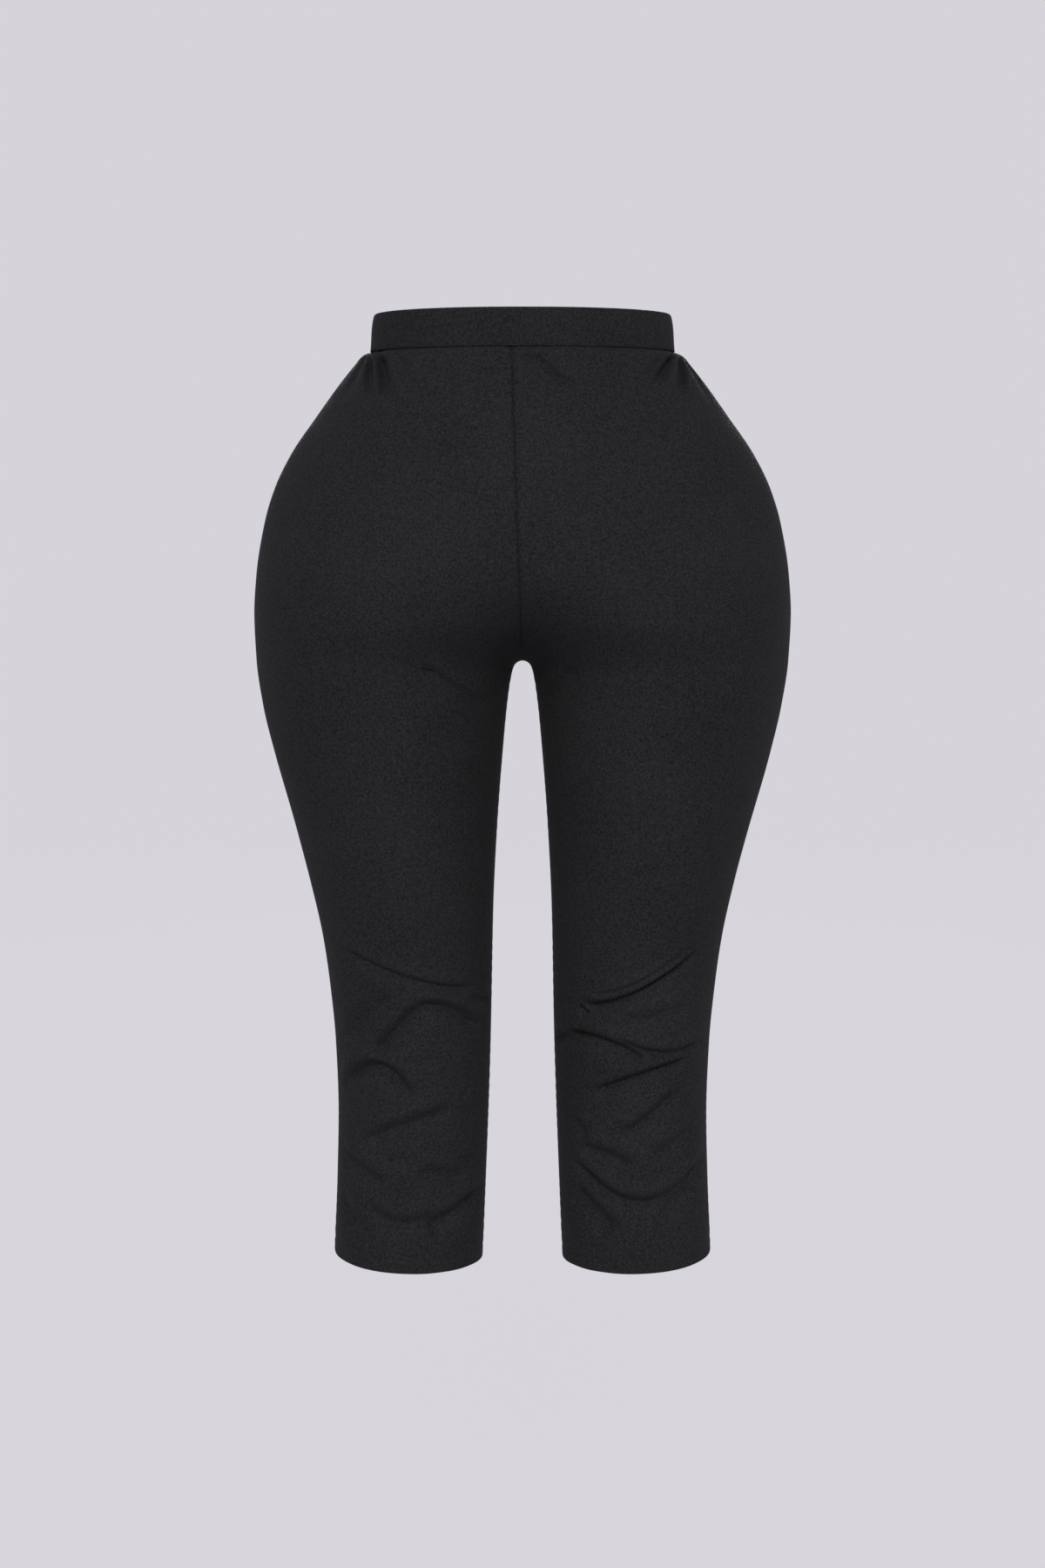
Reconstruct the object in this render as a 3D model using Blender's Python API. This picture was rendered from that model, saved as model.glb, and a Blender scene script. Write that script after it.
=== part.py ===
"""High-waisted capri pants in a crepe knit, filled out as they are when worn.

The garment is six cut pieces: a waistband in a back and a front half, and a back and a front
panel for each leg. Each piece is a closed cloth wall of its own, and neighbours stand a seam
gap apart.

Frame: metres, +Z up. The origin is the middle of the waist opening, half way up the
waistband. The back faces -Y and the front +Y. The wearer's left leg is at -X and the right
leg at +X. All sizes below are in millimetres and angles are in radians, up to MM, which
turns a finished point into metres.

The form. Seen from above, each leg is a ring: half an ellipse behind the side seam and the
inseam, and half an ellipse before them. Above the fork the two rings overlap, and the cloth
is what lies outside both. To let the rings meet in a soft saddle and not in a knife edge,
the rings are drawn across a softened distance from the centre plane,

    soft = sqrt(x * x + FORK_ROUNDING ** 2),

and only the part with soft >= FORK_ROUNDING is cloth. Where the rings have parted by 0 they
are one round waist, and where they have parted by 1 they just touch, which is the fork.
"""

import math
from collections import namedtuple

import bmesh
import bpy
import numpy as np

MM = 0.001

# Waistband
BAND_TOP = 15.0
BAND_BOTTOM = -15.0
BAND_PROUD = 0.5
BAND_THICKNESS = 2.6
BAND_EDGE_RADIUS = 1.3
BAND_EDGE_TURN = math.radians(70)

# Legs
FORK_HEIGHT = -263.5
FORK_ROUNDING = 8.0
FORK_FALL = 118.0
SEAT_FALL = 83.0
SIDE_AT_FORK = -300.0
KNEE_HEIGHT = -500.0
HEM_HEIGHT = -762.0
HEM_DEPTH = 16.0
HEM_SLANT = 3.0

# The centre back seam leans to the wearer's left on its way up, by this much at the band.
SEAM_LEAN = -8.6

# Cloth
CLOTH = 1.5
HEM_CLOTH = 2.8
SEAM_GAP = 0.3

# The side outline and the depths of the body, one row for each level. `outer` is the half
# width at the side seams, `side` the seams' own y, and `back` and `front` the depths from it.
Section = namedtuple("Section", "height outer side back front")
SECTIONS = [
    Section(15, 119.6, 0, 84, 84),
    Section(-15, 122.9, 0, 86, 86),
    Section(-18, 130.2, 0, 87.5, 87),
    Section(-25, 136.3, 0, 90, 89),
    Section(-40, 147.6, 0, 95, 92),
    Section(-67, 167.2, 0, 105, 97),
    Section(-95, 186.8, 0, 115, 102),
    Section(-123, 201.0, 0, 124, 106),
    Section(-151, 209.8, 0, 131, 109),
    Section(-194, 217.0, 0, 137, 110),
    Section(-225, 218.9, 0, 131.5, 108.7),
    Section(-262, 217.6, 0, 115, 106.3),
    Section(-300, 212.4, 0, 109.5, 103.4),
    Section(-337, 204.0, 0, 104.5, 100),
    Section(-402, 186.5, 0, 95, 92),
    Section(-446, 175.4, 0, 88, 86),
    Section(-490, 166.2, 0, 80, 81),
    Section(-535, 160.0, -2, 73, 75),
    Section(-579, 155.9, -4, 70, 70),
    Section(-635, 154.0, -6, 68, 64),
    Section(-692, 155.4, -6, 64, 62),
    Section(-762, 159.0, -4, 61, 61),
]

# Half of the gap between the two inseams, from the fork down to the hem.
Gap = namedtuple("Gap", "height half_gap")
INSEAM = [
    Gap(-263.5, 0.0),
    Gap(-265.0, 4.4),
    Gap(-267.8, 6.8),
    Gap(-273.6, 8.6),
    Gap(-293.7, 11.8),
    Gap(-336.9, 16.0),
    Gap(-402, 20.9),
    Gap(-468, 24.1),
    Gap(-579, 26.4),
    Gap(-646, 28.6),
    Gap(-762, 33.3),
]

# Gathers below the band, one row for each trough beside a side seam. `away` is the distance
# from the side seam along the band, `lean` how far the trough drifts from the seam over its
# length.
Gather = namedtuple("Gather", "leg face away lean depth width length")
GATHERS = [
    Gather("left", "back", 9, 12, 1.2, 3.4, 24),
    Gather("left", "back", 23, 24, 2.4, 3.4, 28),
    Gather("left", "back", 37, 38, 3.4, 3.4, 40),
    Gather("left", "back", 48, 50, 3.2, 3.6, 38),
    Gather("left", "back", 69, 57, 1.2, 4.6, 42),
    Gather("right", "back", 14, 26, 2.2, 3.4, 24),
    Gather("right", "back", 30, 33, 3.4, 3.4, 34),
    Gather("right", "back", 40, 58, 2.8, 3.6, 30),
    Gather("right", "back", 62, 62, 1.0, 4.6, 34),
    Gather("left", "front", 9, 18, 1.8, 3.6, 28),
    Gather("left", "front", 24, 48, 2.6, 4.0, 34),
    Gather("left", "front", 41, 60, 2.2, 4.4, 36),
    Gather("right", "front", 7, 20, 1.6, 3.4, 26),
    Gather("right", "front", 19, 50, 2.8, 3.9, 35),
    Gather("right", "front", 37, 58, 2.4, 4.3, 33),
]

# Folds, one row for each. A fold runs from one end to the other in an arc that rises by
# `bow` in its middle. `across` counts from 0 at the inseam to 1 at the side seam.
Fold = namedtuple("Fold", "leg face across height across_end height_end bow depth width")
FOLDS = [
    # behind the wearer's left knee and calf
    Fold("left", "back", 0.85, -494, 0.09, -528, -5, 3.0, 6.5),
    Fold("left", "back", 0.86, -562, 0.60, -532, 0, 2.4, 9.0),
    Fold("left", "back", 0.70, -568, 0.05, -566, 32, 4.0, 7.5),
    Fold("left", "back", 0.95, -606, 0.48, -608, 21, 3.4, 7.0),
    Fold("left", "back", 0.80, -650, 0.22, -621, 10, 3.6, 7.5),
    Fold("left", "back", 0.95, -664, 0.68, -679, 0, 2.6, 7.0),
    Fold("left", "back", 0.42, -673, 0.12, -683, -1, 2.2, 7.0),
    Fold("left", "back", 0.75, -708, 0.30, -702, -13, 3.0, 8.0),
    Fold("left", "back", 0.36, -725, 0.04, -702, 0, 3.4, 8.5),
    Fold("left", "back", 0.95, -707, 0.74, -733, -2, 2.6, 8.0),
    # behind the right knee and calf
    Fold("right", "back", 0.18, -535, 0.82, -488, -9, 4.6, 6.5),
    Fold("right", "back", 0.38, -547, 0.80, -540, -3, 1.8, 7.5),
    Fold("right", "back", 0.08, -566, 0.52, -577, 8, 3.6, 7.0),
    Fold("right", "back", 0.46, -562, 0.93, -569, -8, 3.6, 7.5),
    Fold("right", "back", 0.22, -609, 0.87, -583, 7, 4.4, 6.5),
    Fold("right", "back", 0.42, -643, 0.78, -608, -2, 3.4, 7.5),
    Fold("right", "back", 0.65, -659, 0.87, -644, 0, 2.4, 7.0),
    Fold("right", "back", 0.14, -658, 0.46, -668, 4, 2.6, 7.0),
    Fold("right", "back", 0.18, -693, 0.98, -668, -18, 4.0, 8.0),
    Fold("right", "back", 0.68, -708, 0.88, -694, 0, 2.0, 7.5),
    Fold("right", "back", 0.11, -699, 0.33, -726, 2, 3.4, 8.5),
    # below the seat
    Fold("left", "back", 0.34, -260, 0.08, -296, 0, 2.8, 6.5),
    Fold("right", "back", 0.02, -289, 0.22, -261, 2, 2.4, 6.5),
    # before the left knee and shin
    Fold("left", "front", 0.12, -520, 0.80, -505, -6, 2.6, 8.5),
    Fold("left", "front", 0.92, -560, 0.35, -548, -10, 3.0, 8.5),
    Fold("left", "front", 0.05, -600, 0.62, -612, 8, 2.6, 8.0),
    Fold("left", "front", 0.95, -640, 0.45, -655, 6, 3.0, 8.5),
    Fold("left", "front", 0.10, -690, 0.70, -700, -12, 3.0, 8.5),
    Fold("left", "front", 0.92, -705, 0.62, -728, 0, 2.4, 8.5),
    # before the right knee and shin
    Fold("right", "front", 0.90, -512, 0.22, -522, -8, 2.6, 8.5),
    Fold("right", "front", 0.08, -548, 0.60, -566, 8, 3.0, 8.0),
    Fold("right", "front", 0.95, -592, 0.40, -588, -9, 3.0, 8.5),
    Fold("right", "front", 0.06, -632, 0.55, -640, -6, 2.4, 8.0),
    Fold("right", "front", 0.93, -668, 0.42, -684, 7, 3.0, 8.5),
    Fold("right", "front", 0.15, -716, 0.66, -722, -8, 2.6, 8.5),
    # in the front crease of each thigh
    Fold("left", "front", 0.30, -262, 0.05, -300, 0, 2.4, 8.0),
    Fold("right", "front", 0.28, -258, 0.04, -294, 0, 2.4, 8.0),
]

# The section of a fold, in widths of its trough: the roll above it, and how far both reach.
ROLL_SHARE = 0.45
ROLL_PLACE = 1.5
ROLL_WIDTH = 1.1
FOLD_REACH = 4.0
DEPTH_AT_ENDS = 0.25
FOLD_STEPS = 12

# The grid of each panel. Rows run from the side seam to the centre seam or inseam. Those
# near the waistband have their columns drawn to the side seam, where the gathers are.
GATHER_ZONE = 40.0
GATHER_ROWS = 5
GATHER_FIRST_STEP = 3.5
GATHER_PULL = 0.8
GATHERED_COLUMNS = 8
SPLIT = 3
BODY_ROWS = 11
STEP_ABOVE_FORK = 6.0
THIGH_ROWS = 9
STEP_BELOW_FORK = 4.0
SHIN_ROWS = 27
HEM_STEP = 1.0
COLUMNS = {"back": 14, "front": 11}

# Materials and shading
CREPE_BLACK = (0.018, 0.018, 0.020)
CREPE_ROUGHNESS = 0.9
SHARP_FROM = math.radians(50)

LEGS = {"left": -1, "right": 1}
FACES = {"back": -1, "front": 1}


def smooth_curve(heights, values):
    """A curve through the given values that never overshoots them, as a function of height."""
    order = np.argsort(heights)
    x = np.array(heights, float)[order]
    y = np.array(values, float)[order]
    step = np.diff(x)
    slope = np.diff(y) / step
    tangent = np.zeros(len(x))
    tangent[0] = slope[0]
    tangent[-1] = slope[-1]
    for i in range(1, len(x) - 1):
        if slope[i - 1] * slope[i] > 0:
            before = 2 * step[i] + step[i - 1]
            after = step[i] + 2 * step[i - 1]
            tangent[i] = (before + after) / (before / slope[i - 1] + after / slope[i])

    def at(height):
        h = np.clip(height, x[0], x[-1])
        i = np.clip(np.searchsorted(x, h) - 1, 0, len(step) - 1)
        t = (h - x[i]) / step[i]
        start = y[i] * (1 + 2 * t) * (1 - t) ** 2 + tangent[i] * step[i] * t * (1 - t) ** 2
        end = y[i + 1] * t * t * (3 - 2 * t) - tangent[i + 1] * step[i] * t * t * (1 - t)
        return start + end

    return at


def column(table, name):
    """The curve of one named column of a table of heights."""
    return smooth_curve([row.height for row in table], [getattr(row, name) for row in table])


def soften(x):
    """The softened distance from the centre plane."""
    return np.sqrt(x * x + FORK_ROUNDING**2)


outer_at = column(SECTIONS, "outer")
side_at = column(SECTIONS, "side")
depth_at = {face: column(SECTIONS, face) for face in FACES}
inseam_at = smooth_curve([g.height for g in INSEAM], [soften(g.half_gap) for g in INSEAM])


def parted_at(height):
    """How far the two rings have parted: 1 at the fork, easing to 0 at the round waist."""
    rise = np.maximum(height - FORK_HEIGHT, 0)
    return np.exp(-rise / FORK_FALL - (rise / SEAT_FALL) ** 2)


def ring_at(height):
    """The middle and the half width of a leg's ring, as softened distances."""
    outside = soften(outer_at(height))
    overlapped = outside - 2 * (outside - FORK_ROUNDING) / (1 + parted_at(height))
    inside = np.where(height > FORK_HEIGHT, overlapped, inseam_at(height))
    return (outside + inside) / 2, (outside - inside) / 2


def edge_angles(height, face):
    """A panel's angles on its ring at the side seam and at the centre seam or inseam."""
    middle, half = ring_at(height)
    clear = np.arcsin(SEAM_GAP / 2 / depth_at[face](height))
    centre = np.arccos(np.clip((soften(SEAM_GAP / 2) - middle) / half, -1, 1))
    return clear, np.minimum(centre, math.pi - clear)


def surface(height, angle, face):
    """Points of the right leg's smooth surface, and the directions that face out of it."""
    middle, half = ring_at(height)
    depth = depth_at[face](height)
    soft = middle + half * np.cos(angle)
    y = side_at(height) + FACES[face] * depth * np.sin(angle)
    x = np.sqrt(np.maximum(soft**2 - FORK_ROUNDING**2, 0))

    def level(h):
        m, r = ring_at(h)
        return ((soft - m) / r) ** 2 + ((y - side_at(h)) / depth_at[face](h)) ** 2

    step = 0.05
    out = np.stack(
        [
            2 * (soft - middle) / half**2 * x / soft,
            2 * (y - side_at(height)) / depth**2,
            (level(height + step) - level(height - step)) / (2 * step),
        ],
        axis=-1,
    )
    out /= np.linalg.norm(out, axis=-1, keepdims=True)
    return np.stack([x, y, height + 0 * x], axis=-1), out


def lean_seam(height, angle, leg):
    """A back panel's angles drawn sideways with its seam, and -1 for points past the centre."""
    middle, half = ring_at(height)
    soft = middle + half * np.cos(angle)
    x = LEGS[leg] * np.sqrt(np.maximum(soft**2 - FORK_ROUNDING**2, 0))
    rise = np.clip((height - FORK_HEIGHT) / (BAND_BOTTOM - FORK_HEIGHT), 0, 1)
    reach = 1 - (x / outer_at(height)) ** 2
    x += SEAM_LEAN * rise * reach**2
    leaned = np.arccos(np.clip((soften(x) - middle) / half, -1, 1))
    return leaned, np.where(x * LEGS[leg] < 0, -1, 1)


def girth(height, angle, face):
    """The length of cloth from the side seam to an angle on the ring."""
    _, half = ring_at(height)
    depth = depth_at[face](height)
    parts = 12
    total = 0
    for i in range(parts):
        a = angle * (i + 0.5) / parts
        total = total + np.hypot(half * np.sin(a), depth * np.cos(a)) * angle / parts
    return total


def smoothstep(t):
    """0 up to t = 0 and 1 from t = 1, with an even curve between."""
    t = np.clip(t, 0, 1)
    return t * t * (3 - 2 * t)


def gather_relief(gather, height, along):
    """How far one gather below the band moves the cloth out, at points of its panel."""
    drop = (BAND_BOTTOM - height) / gather.length
    off = (along - gather.away - gather.lean * drop) / (gather.width * (1 + np.clip(drop, 0, 1)))
    fade = smoothstep(drop * 5) * smoothstep(1.25 * (1 - drop))
    return -gather.depth * fade * np.exp(-off * off)


def fold_line(fold):
    """The line of a fold as (cloth from the side seam, height) pairs."""
    t = np.linspace(0, 1, FOLD_STEPS + 1)
    across = fold.across + (fold.across_end - fold.across) * t
    height = fold.height + (fold.height_end - fold.height) * t + 4 * fold.bow * t * (1 - t)
    angle = np.arccos(np.clip(2 * across - 1, -1, 1))
    return np.stack([girth(height, angle, fold.face), height], axis=-1)


def fold_relief(fold, height, along):
    """How far one fold moves the cloth out: a trough with a roll on its upper side."""
    line = fold_line(fold)
    place = np.stack([along, height], axis=-1)
    nearest = np.full(height.shape, 1e9)
    above = np.zeros(height.shape)
    travelled = np.zeros(height.shape)
    for i in range(FOLD_STEPS):
        start, run = line[i], line[i + 1] - line[i]
        t = np.clip((place - start) @ run / (run @ run), 0, 1)
        away = place - start - t[..., None] * run
        distance = np.linalg.norm(away, axis=-1)
        closer = distance < nearest
        nearest = np.where(closer, distance, nearest)
        above = np.where(closer, np.sign(away[..., 1]), above)
        travelled = np.where(closer, (i + t) / FOLD_STEPS, travelled)
    off = nearest * above / fold.width
    trough = np.exp(-off * off)
    roll = np.exp(-(((off - ROLL_PLACE) / ROLL_WIDTH) ** 2))
    middle = np.sqrt(np.clip(4 * travelled * (1 - travelled), 0, 1))
    fade = DEPTH_AT_ENDS + (1 - DEPTH_AT_ENDS) * middle
    return np.where(abs(off) < FOLD_REACH, fold.depth * fade * (ROLL_SHARE * roll - trough), 0)


def relief(height, angle, leg, face):
    """How far all the gathers and folds of a panel move its cloth out."""
    along = girth(height, angle, face)
    total = np.zeros(height.shape)
    for gather in GATHERS:
        if (gather.leg, gather.face) == (leg, face):
            total += gather_relief(gather, height, along)
    for fold in FOLDS:
        if (fold.leg, fold.face) == (leg, face):
            total += fold_relief(fold, height, along)
    return total


def graded(length, count, first):
    """Places along a length whose steps grow evenly from the given first one."""
    even = length / count
    steps = first + (even - first) * 2 * np.arange(count) / (count - 1)
    return np.concatenate([[0], np.cumsum(steps)]) * length / steps.sum()


def inner_heights(face):
    """The heights of a panel's rows at the centre seam and inseam, spaced by cloth length."""
    gather_end = BAND_BOTTOM - GATHER_ZONE
    down = np.linspace(gather_end, KNEE_HEIGHT, 4000)
    _, inner = edge_angles(down, face)
    points, _ = surface(down, inner, face)
    run = np.concatenate([[0], np.cumsum(np.linalg.norm(np.diff(points, axis=0), axis=1))])
    fork = np.interp(-FORK_HEIGHT, -down, run)
    body = fork - graded(fork, BODY_ROWS, STEP_ABOVE_FORK)[::-1]
    thigh = fork + graded(run[-1] - fork, THIGH_ROWS, STEP_BELOW_FORK)
    body_heights = np.interp(body, run, down)
    body_heights[-1] = FORK_HEIGHT
    return body_heights, np.interp(thigh, run, down)


def row_heights(face):
    """The heights of a panel's rows at its side seam and inner edge, and its first hem row."""
    gather_end = BAND_BOTTOM - GATHER_ZONE
    gathers = BAND_BOTTOM - graded(GATHER_ZONE, GATHER_ROWS, GATHER_FIRST_STEP)
    gathers[0] -= SEAM_GAP / 2
    body, thigh = inner_heights(face)
    hem_top = HEM_HEIGHT + HEM_DEPTH
    shin = np.linspace(KNEE_HEIGHT, hem_top, SHIN_ROWS + 1)
    hem = [hem_top - HEM_STEP, (hem_top + HEM_HEIGHT) / 2, HEM_HEIGHT]
    shin = np.concatenate([shin[1:], hem])
    slant = HEM_SLANT / 2 * (KNEE_HEIGHT - shin) / (KNEE_HEIGHT - HEM_HEIGHT)
    side_body = np.linspace(gather_end, SIDE_AT_FORK, BODY_ROWS + 1)
    side_thigh = np.linspace(SIDE_AT_FORK, KNEE_HEIGHT, THIGH_ROWS + 1)
    inner = np.concatenate([gathers, body[1:], thigh[1:], shin - slant])
    side = np.concatenate([gathers, side_body[1:], side_thigh[1:], shin + slant])
    return side, inner, len(side) - len(hem)


def row_columns(face):
    """The columns of the gathered rows and of the other rows, from 0 at the side seam to 1."""
    plain = np.linspace(0, 1, COLUMNS[face] + 1)
    fine = np.linspace(0, plain[GATHERED_COLUMNS], GATHERED_COLUMNS * SPLIT + 1)
    return np.concatenate([fine, plain[GATHERED_COLUMNS + 1 :]]), plain


def panel_rows(leg, face):
    """The outer and the inner points of a panel, row by row, and each row's columns."""
    gathered, plain = row_columns(face)
    sides, inners, hem_row = row_heights(face)
    rows = []
    for i, (side, inner) in enumerate(zip(sides, inners)):
        columns = gathered if i <= GATHER_ROWS else plain
        height = side + (inner - side) * columns
        start, end = edge_angles(height, face)
        pull = 1 + GATHER_PULL * max(1 - i / GATHER_ROWS, 0)
        angle = start + (end - start) * columns**pull
        turn = np.full((len(columns), 3), (LEGS[leg], 1, 1))
        if face == "back":
            angle, past = lean_seam(height, angle, leg)
            turn[:, 0] *= past
        points, out = surface(height, angle, face)
        outside = points + out * relief(height, angle, leg, face)[:, None]
        inside = outside - out * (HEM_CLOTH if i >= hem_row else CLOTH)
        rows.append((outside * turn, inside * turn, columns))
    return rows


def strip(upper, lower, points):
    """Triangles between two rows of (vertex, column) pairs, with the shorter diagonals."""
    i = j = 0
    triangles = []
    while i < len(upper) - 1 or j < len(lower) - 1:
        next_up = sum(c for _, c in upper[i : i + 2]) if i < len(upper) - 1 else math.inf
        next_low = sum(c for _, c in lower[j : j + 2]) if j < len(lower) - 1 else math.inf
        if abs(next_up - next_low) < 1e-9:
            falling = np.linalg.norm(points[upper[i][0]] - points[lower[j + 1][0]])
            rising = np.linalg.norm(points[upper[i + 1][0]] - points[lower[j][0]])
            step_up_first = rising < falling
        else:
            step_up_first = next_up < next_low
        if step_up_first:
            triangles.append((upper[i][0], upper[i + 1][0], lower[j][0]))
            i += 1
        else:
            triangles.append((upper[i][0], lower[j + 1][0], lower[j][0]))
            j += 1
    return triangles


def wall_object(name, rows, material, collection):
    """A closed cloth wall between the outer and the inner points of its rows."""
    numbered = []
    count = 0
    for outside, _, columns in rows:
        numbered.append([(count + i, c) for i, c in enumerate(columns)])
        count += len(outside)
    points = np.concatenate([outside for outside, _, _ in rows])
    lining = np.concatenate([inside for _, inside, _ in rows])
    triangles = []
    for upper, lower in zip(numbered, numbered[1:]):
        triangles += strip(upper, lower, points)
    rim = [v for v, _ in numbered[0]]
    rim += [row[-1][0] for row in numbered[1:]]
    rim += [v for v, _ in numbered[-1][-2::-1]]
    rim += [row[0][0] for row in numbered[-2:0:-1]]

    shape = bmesh.new()
    verts = [shape.verts.new(p * MM) for p in np.concatenate([points, lining])]
    for a, b, c in triangles:
        shape.faces.new((verts[a], verts[b], verts[c]))
        shape.faces.new((verts[c + count], verts[b + count], verts[a + count]))
    for a, b in zip(rim, rim[1:] + rim[:1]):
        shape.faces.new((verts[a], verts[a + count], verts[b]))
        shape.faces.new((verts[b], verts[a + count], verts[b + count]))
    bmesh.ops.recalc_face_normals(shape, faces=shape.faces)
    mesh = bpy.data.meshes.new(name)
    shape.to_mesh(mesh)
    shape.free()
    mesh.shade_smooth()
    mesh.set_sharp_from_angle(angle=SHARP_FROM)
    mesh.materials.append(material)
    piece = bpy.data.objects.new(name, mesh)
    collection.objects.link(piece)


def band_profile():
    """The height and inset of each row of a waistband, from its rounded top edge down."""
    bottom = BAND_BOTTOM + SEAM_GAP / 2
    shoulder = BAND_TOP - BAND_EDGE_RADIUS * math.sin(BAND_EDGE_TURN)
    profile = []
    for turn in np.linspace(BAND_EDGE_TURN, 0, 3):
        height = shoulder + BAND_EDGE_RADIUS * math.sin(turn)
        profile.append((height, BAND_EDGE_RADIUS * (1 - math.cos(turn))))
    return profile + [((bottom + shoulder) / 2, 0), (bottom, 0)]


def mirrored(points):
    """A row of points up to the centre plane, followed by the same ones beyond it."""
    return np.concatenate([points, points[-2::-1] * np.array([-1, 1, 1])])


def band_rows(face):
    """The outer and the inner points of half a waistband, and each row's columns."""
    columns = np.linspace(0, 1, COLUMNS[face] + 1)
    both = np.concatenate([columns, 2 - columns[-2::-1]])
    rows = []
    for height, inset in band_profile():
        level = np.full(columns.shape, height)
        start, _ = edge_angles(level, face)
        angle = start + (math.pi / 2 - start) * columns
        points, out = surface(level, angle, face)
        points[-1, 0] = 0
        out[:, 2] = 0
        out /= np.linalg.norm(out, axis=1, keepdims=True)
        outside = points + out * (BAND_PROUD - inset)
        inside = outside - out * (BAND_THICKNESS - 2 * inset)
        rows.append((mirrored(outside), mirrored(inside), both))
    return rows


def crepe(name):
    """The black crepe of one piece."""
    material = bpy.data.materials.new(name)
    material.use_nodes = True
    shader = material.node_tree.nodes["Principled BSDF"]
    shader.inputs["Base Color"].default_value = (*CREPE_BLACK, 1)
    shader.inputs["Roughness"].default_value = CREPE_ROUGHNESS
    shader.inputs["Metallic"].default_value = 0
    return material


def build():
    """Clear the scene and make the six pieces."""
    for old in list(bpy.data.objects):
        bpy.data.objects.remove(old)
    collection = bpy.data.collections.new("capri_pants")
    bpy.context.scene.collection.children.link(collection)
    for face in FACES:
        name = f"waistband_{face}"
        wall_object(name, band_rows(face), crepe(name), collection)
        for leg in LEGS:
            name = f"{face}_{leg}"
            wall_object(name, panel_rows(leg, face), crepe(name), collection)


build()
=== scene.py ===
"""Dresses the capri pants in black crepe: panels with folds and gathers, waistband, stitching.

Each cut piece of the garment is a thin closed cloth shell that stands for the plain solid of
the same name. The shells follow the same form as the solids, with finer folds, rolled seam
edges, seam allowances and a turned-up hem.

Frame: metres, +Z up. The origin is the middle of the waist opening, the garment's back faces
-Y and its front +Y, and the wearer's left leg is at -X. The garment's sizes below are in
millimetres, which MM turns into metres at the end. The studio's sizes are in metres. Angles
are in radians, unless their name says degrees.
"""

import logging
import math
from dataclasses import dataclass, field
from enum import Enum

import bpy
import numpy as np
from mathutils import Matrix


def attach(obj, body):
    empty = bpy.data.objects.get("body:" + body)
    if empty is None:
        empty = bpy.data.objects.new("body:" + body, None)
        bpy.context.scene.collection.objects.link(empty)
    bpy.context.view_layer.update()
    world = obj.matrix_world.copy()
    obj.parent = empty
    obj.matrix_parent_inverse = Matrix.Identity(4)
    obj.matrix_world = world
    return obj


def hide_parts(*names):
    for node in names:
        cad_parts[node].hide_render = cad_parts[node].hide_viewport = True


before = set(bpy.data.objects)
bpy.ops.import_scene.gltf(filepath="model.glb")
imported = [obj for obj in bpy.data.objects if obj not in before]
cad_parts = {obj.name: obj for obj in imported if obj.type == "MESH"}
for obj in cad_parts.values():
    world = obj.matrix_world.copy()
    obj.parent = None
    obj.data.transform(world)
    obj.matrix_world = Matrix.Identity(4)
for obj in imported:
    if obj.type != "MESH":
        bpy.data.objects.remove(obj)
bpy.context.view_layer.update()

LOG = logging.getLogger("capri_pants")
MM = 0.001
BODY = "root"
SHARP_ANGLE = math.radians(65)
PALE = (0.672, 0.651, 0.701)


class Leg(Enum):
    """The wearer's legs, each with its side of the centre plane."""

    LEFT = -1
    RIGHT = 1


class Face(Enum):
    """The garment's two faces, each with the way it looks along Y."""

    BACK = -1
    FRONT = 1


class Held(Enum):
    """The ways in which a piece of this garment's cloth is held."""

    HUNG = "hung"
    STRETCHED = "stretched"


@dataclass(frozen=True)
class Section:
    """The outline and depths of the body at one height."""

    height: float
    outer: float
    side: float
    back: float
    front: float


@dataclass(frozen=True)
class Gap:
    """Half of the gap between the two inseams at one height."""

    height: float
    half_gap: float


@dataclass(frozen=True)
class Gather:
    """A gather's trough, which starts at the waistband some way from the side seam.

    At its end, `length` below the band, it has leaned away from the seam by `lean` more.
    """

    leg: Leg
    face: Face
    away: float
    lean: float
    depth: float
    width: float
    length: float


@dataclass(frozen=True)
class Fold:
    """A fold between two ends, each (across, height), in an arc that rises by `bow`.

    `crisp` tells how sharply its bottom is pinched, from 0 for a soft fold to 1.
    """

    leg: Leg
    face: Face
    across: float
    height: float
    across_end: float
    height_end: float
    bow: float
    depth: float
    width: float
    crisp: float = 0.12


@dataclass(frozen=True)
class Cut:
    """The flat size of what shows of a piece, in millimetres and square metres."""

    width: float
    length: float
    area: float

    @property
    def flat(self) -> tuple[float, float]:
        """Its width and length in metres."""
        return self.width * MM, self.length * MM


SECTIONS = [
    Section(15, 119.6, 0, 84, 84),
    Section(-15, 122.9, 0, 86, 86),
    Section(-16.3, 126.6, 0, 86.7, 86.4),
    Section(-18, 129.4, 0, 87.5, 87),
    Section(-25, 135.4, 0, 90, 89),
    Section(-40, 147.6, 0, 95, 92),
    Section(-67, 167.2, 0, 105, 97),
    Section(-95, 186.8, 0, 115, 102),
    Section(-123, 201.0, 0, 124, 106),
    Section(-151, 209.8, 0, 131, 109),
    Section(-194, 217.0, 0, 137, 110),
    Section(-225, 218.9, 0, 131.5, 108.7),
    Section(-262, 217.6, 0, 115, 106.3),
    Section(-300, 212.4, 0, 109.5, 103.4),
    Section(-337, 204.0, 0, 104.5, 100),
    Section(-402, 186.5, 0, 95, 92),
    Section(-446, 175.4, 0, 88, 86),
    Section(-490, 166.2, 0, 80, 81),
    Section(-535, 160.0, -2, 73, 75),
    Section(-579, 155.9, -4, 70, 70),
    Section(-635, 154.0, -6, 68, 64),
    Section(-692, 155.4, -6, 64, 62),
    Section(-762, 159.0, -4, 61, 61),
]

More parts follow.
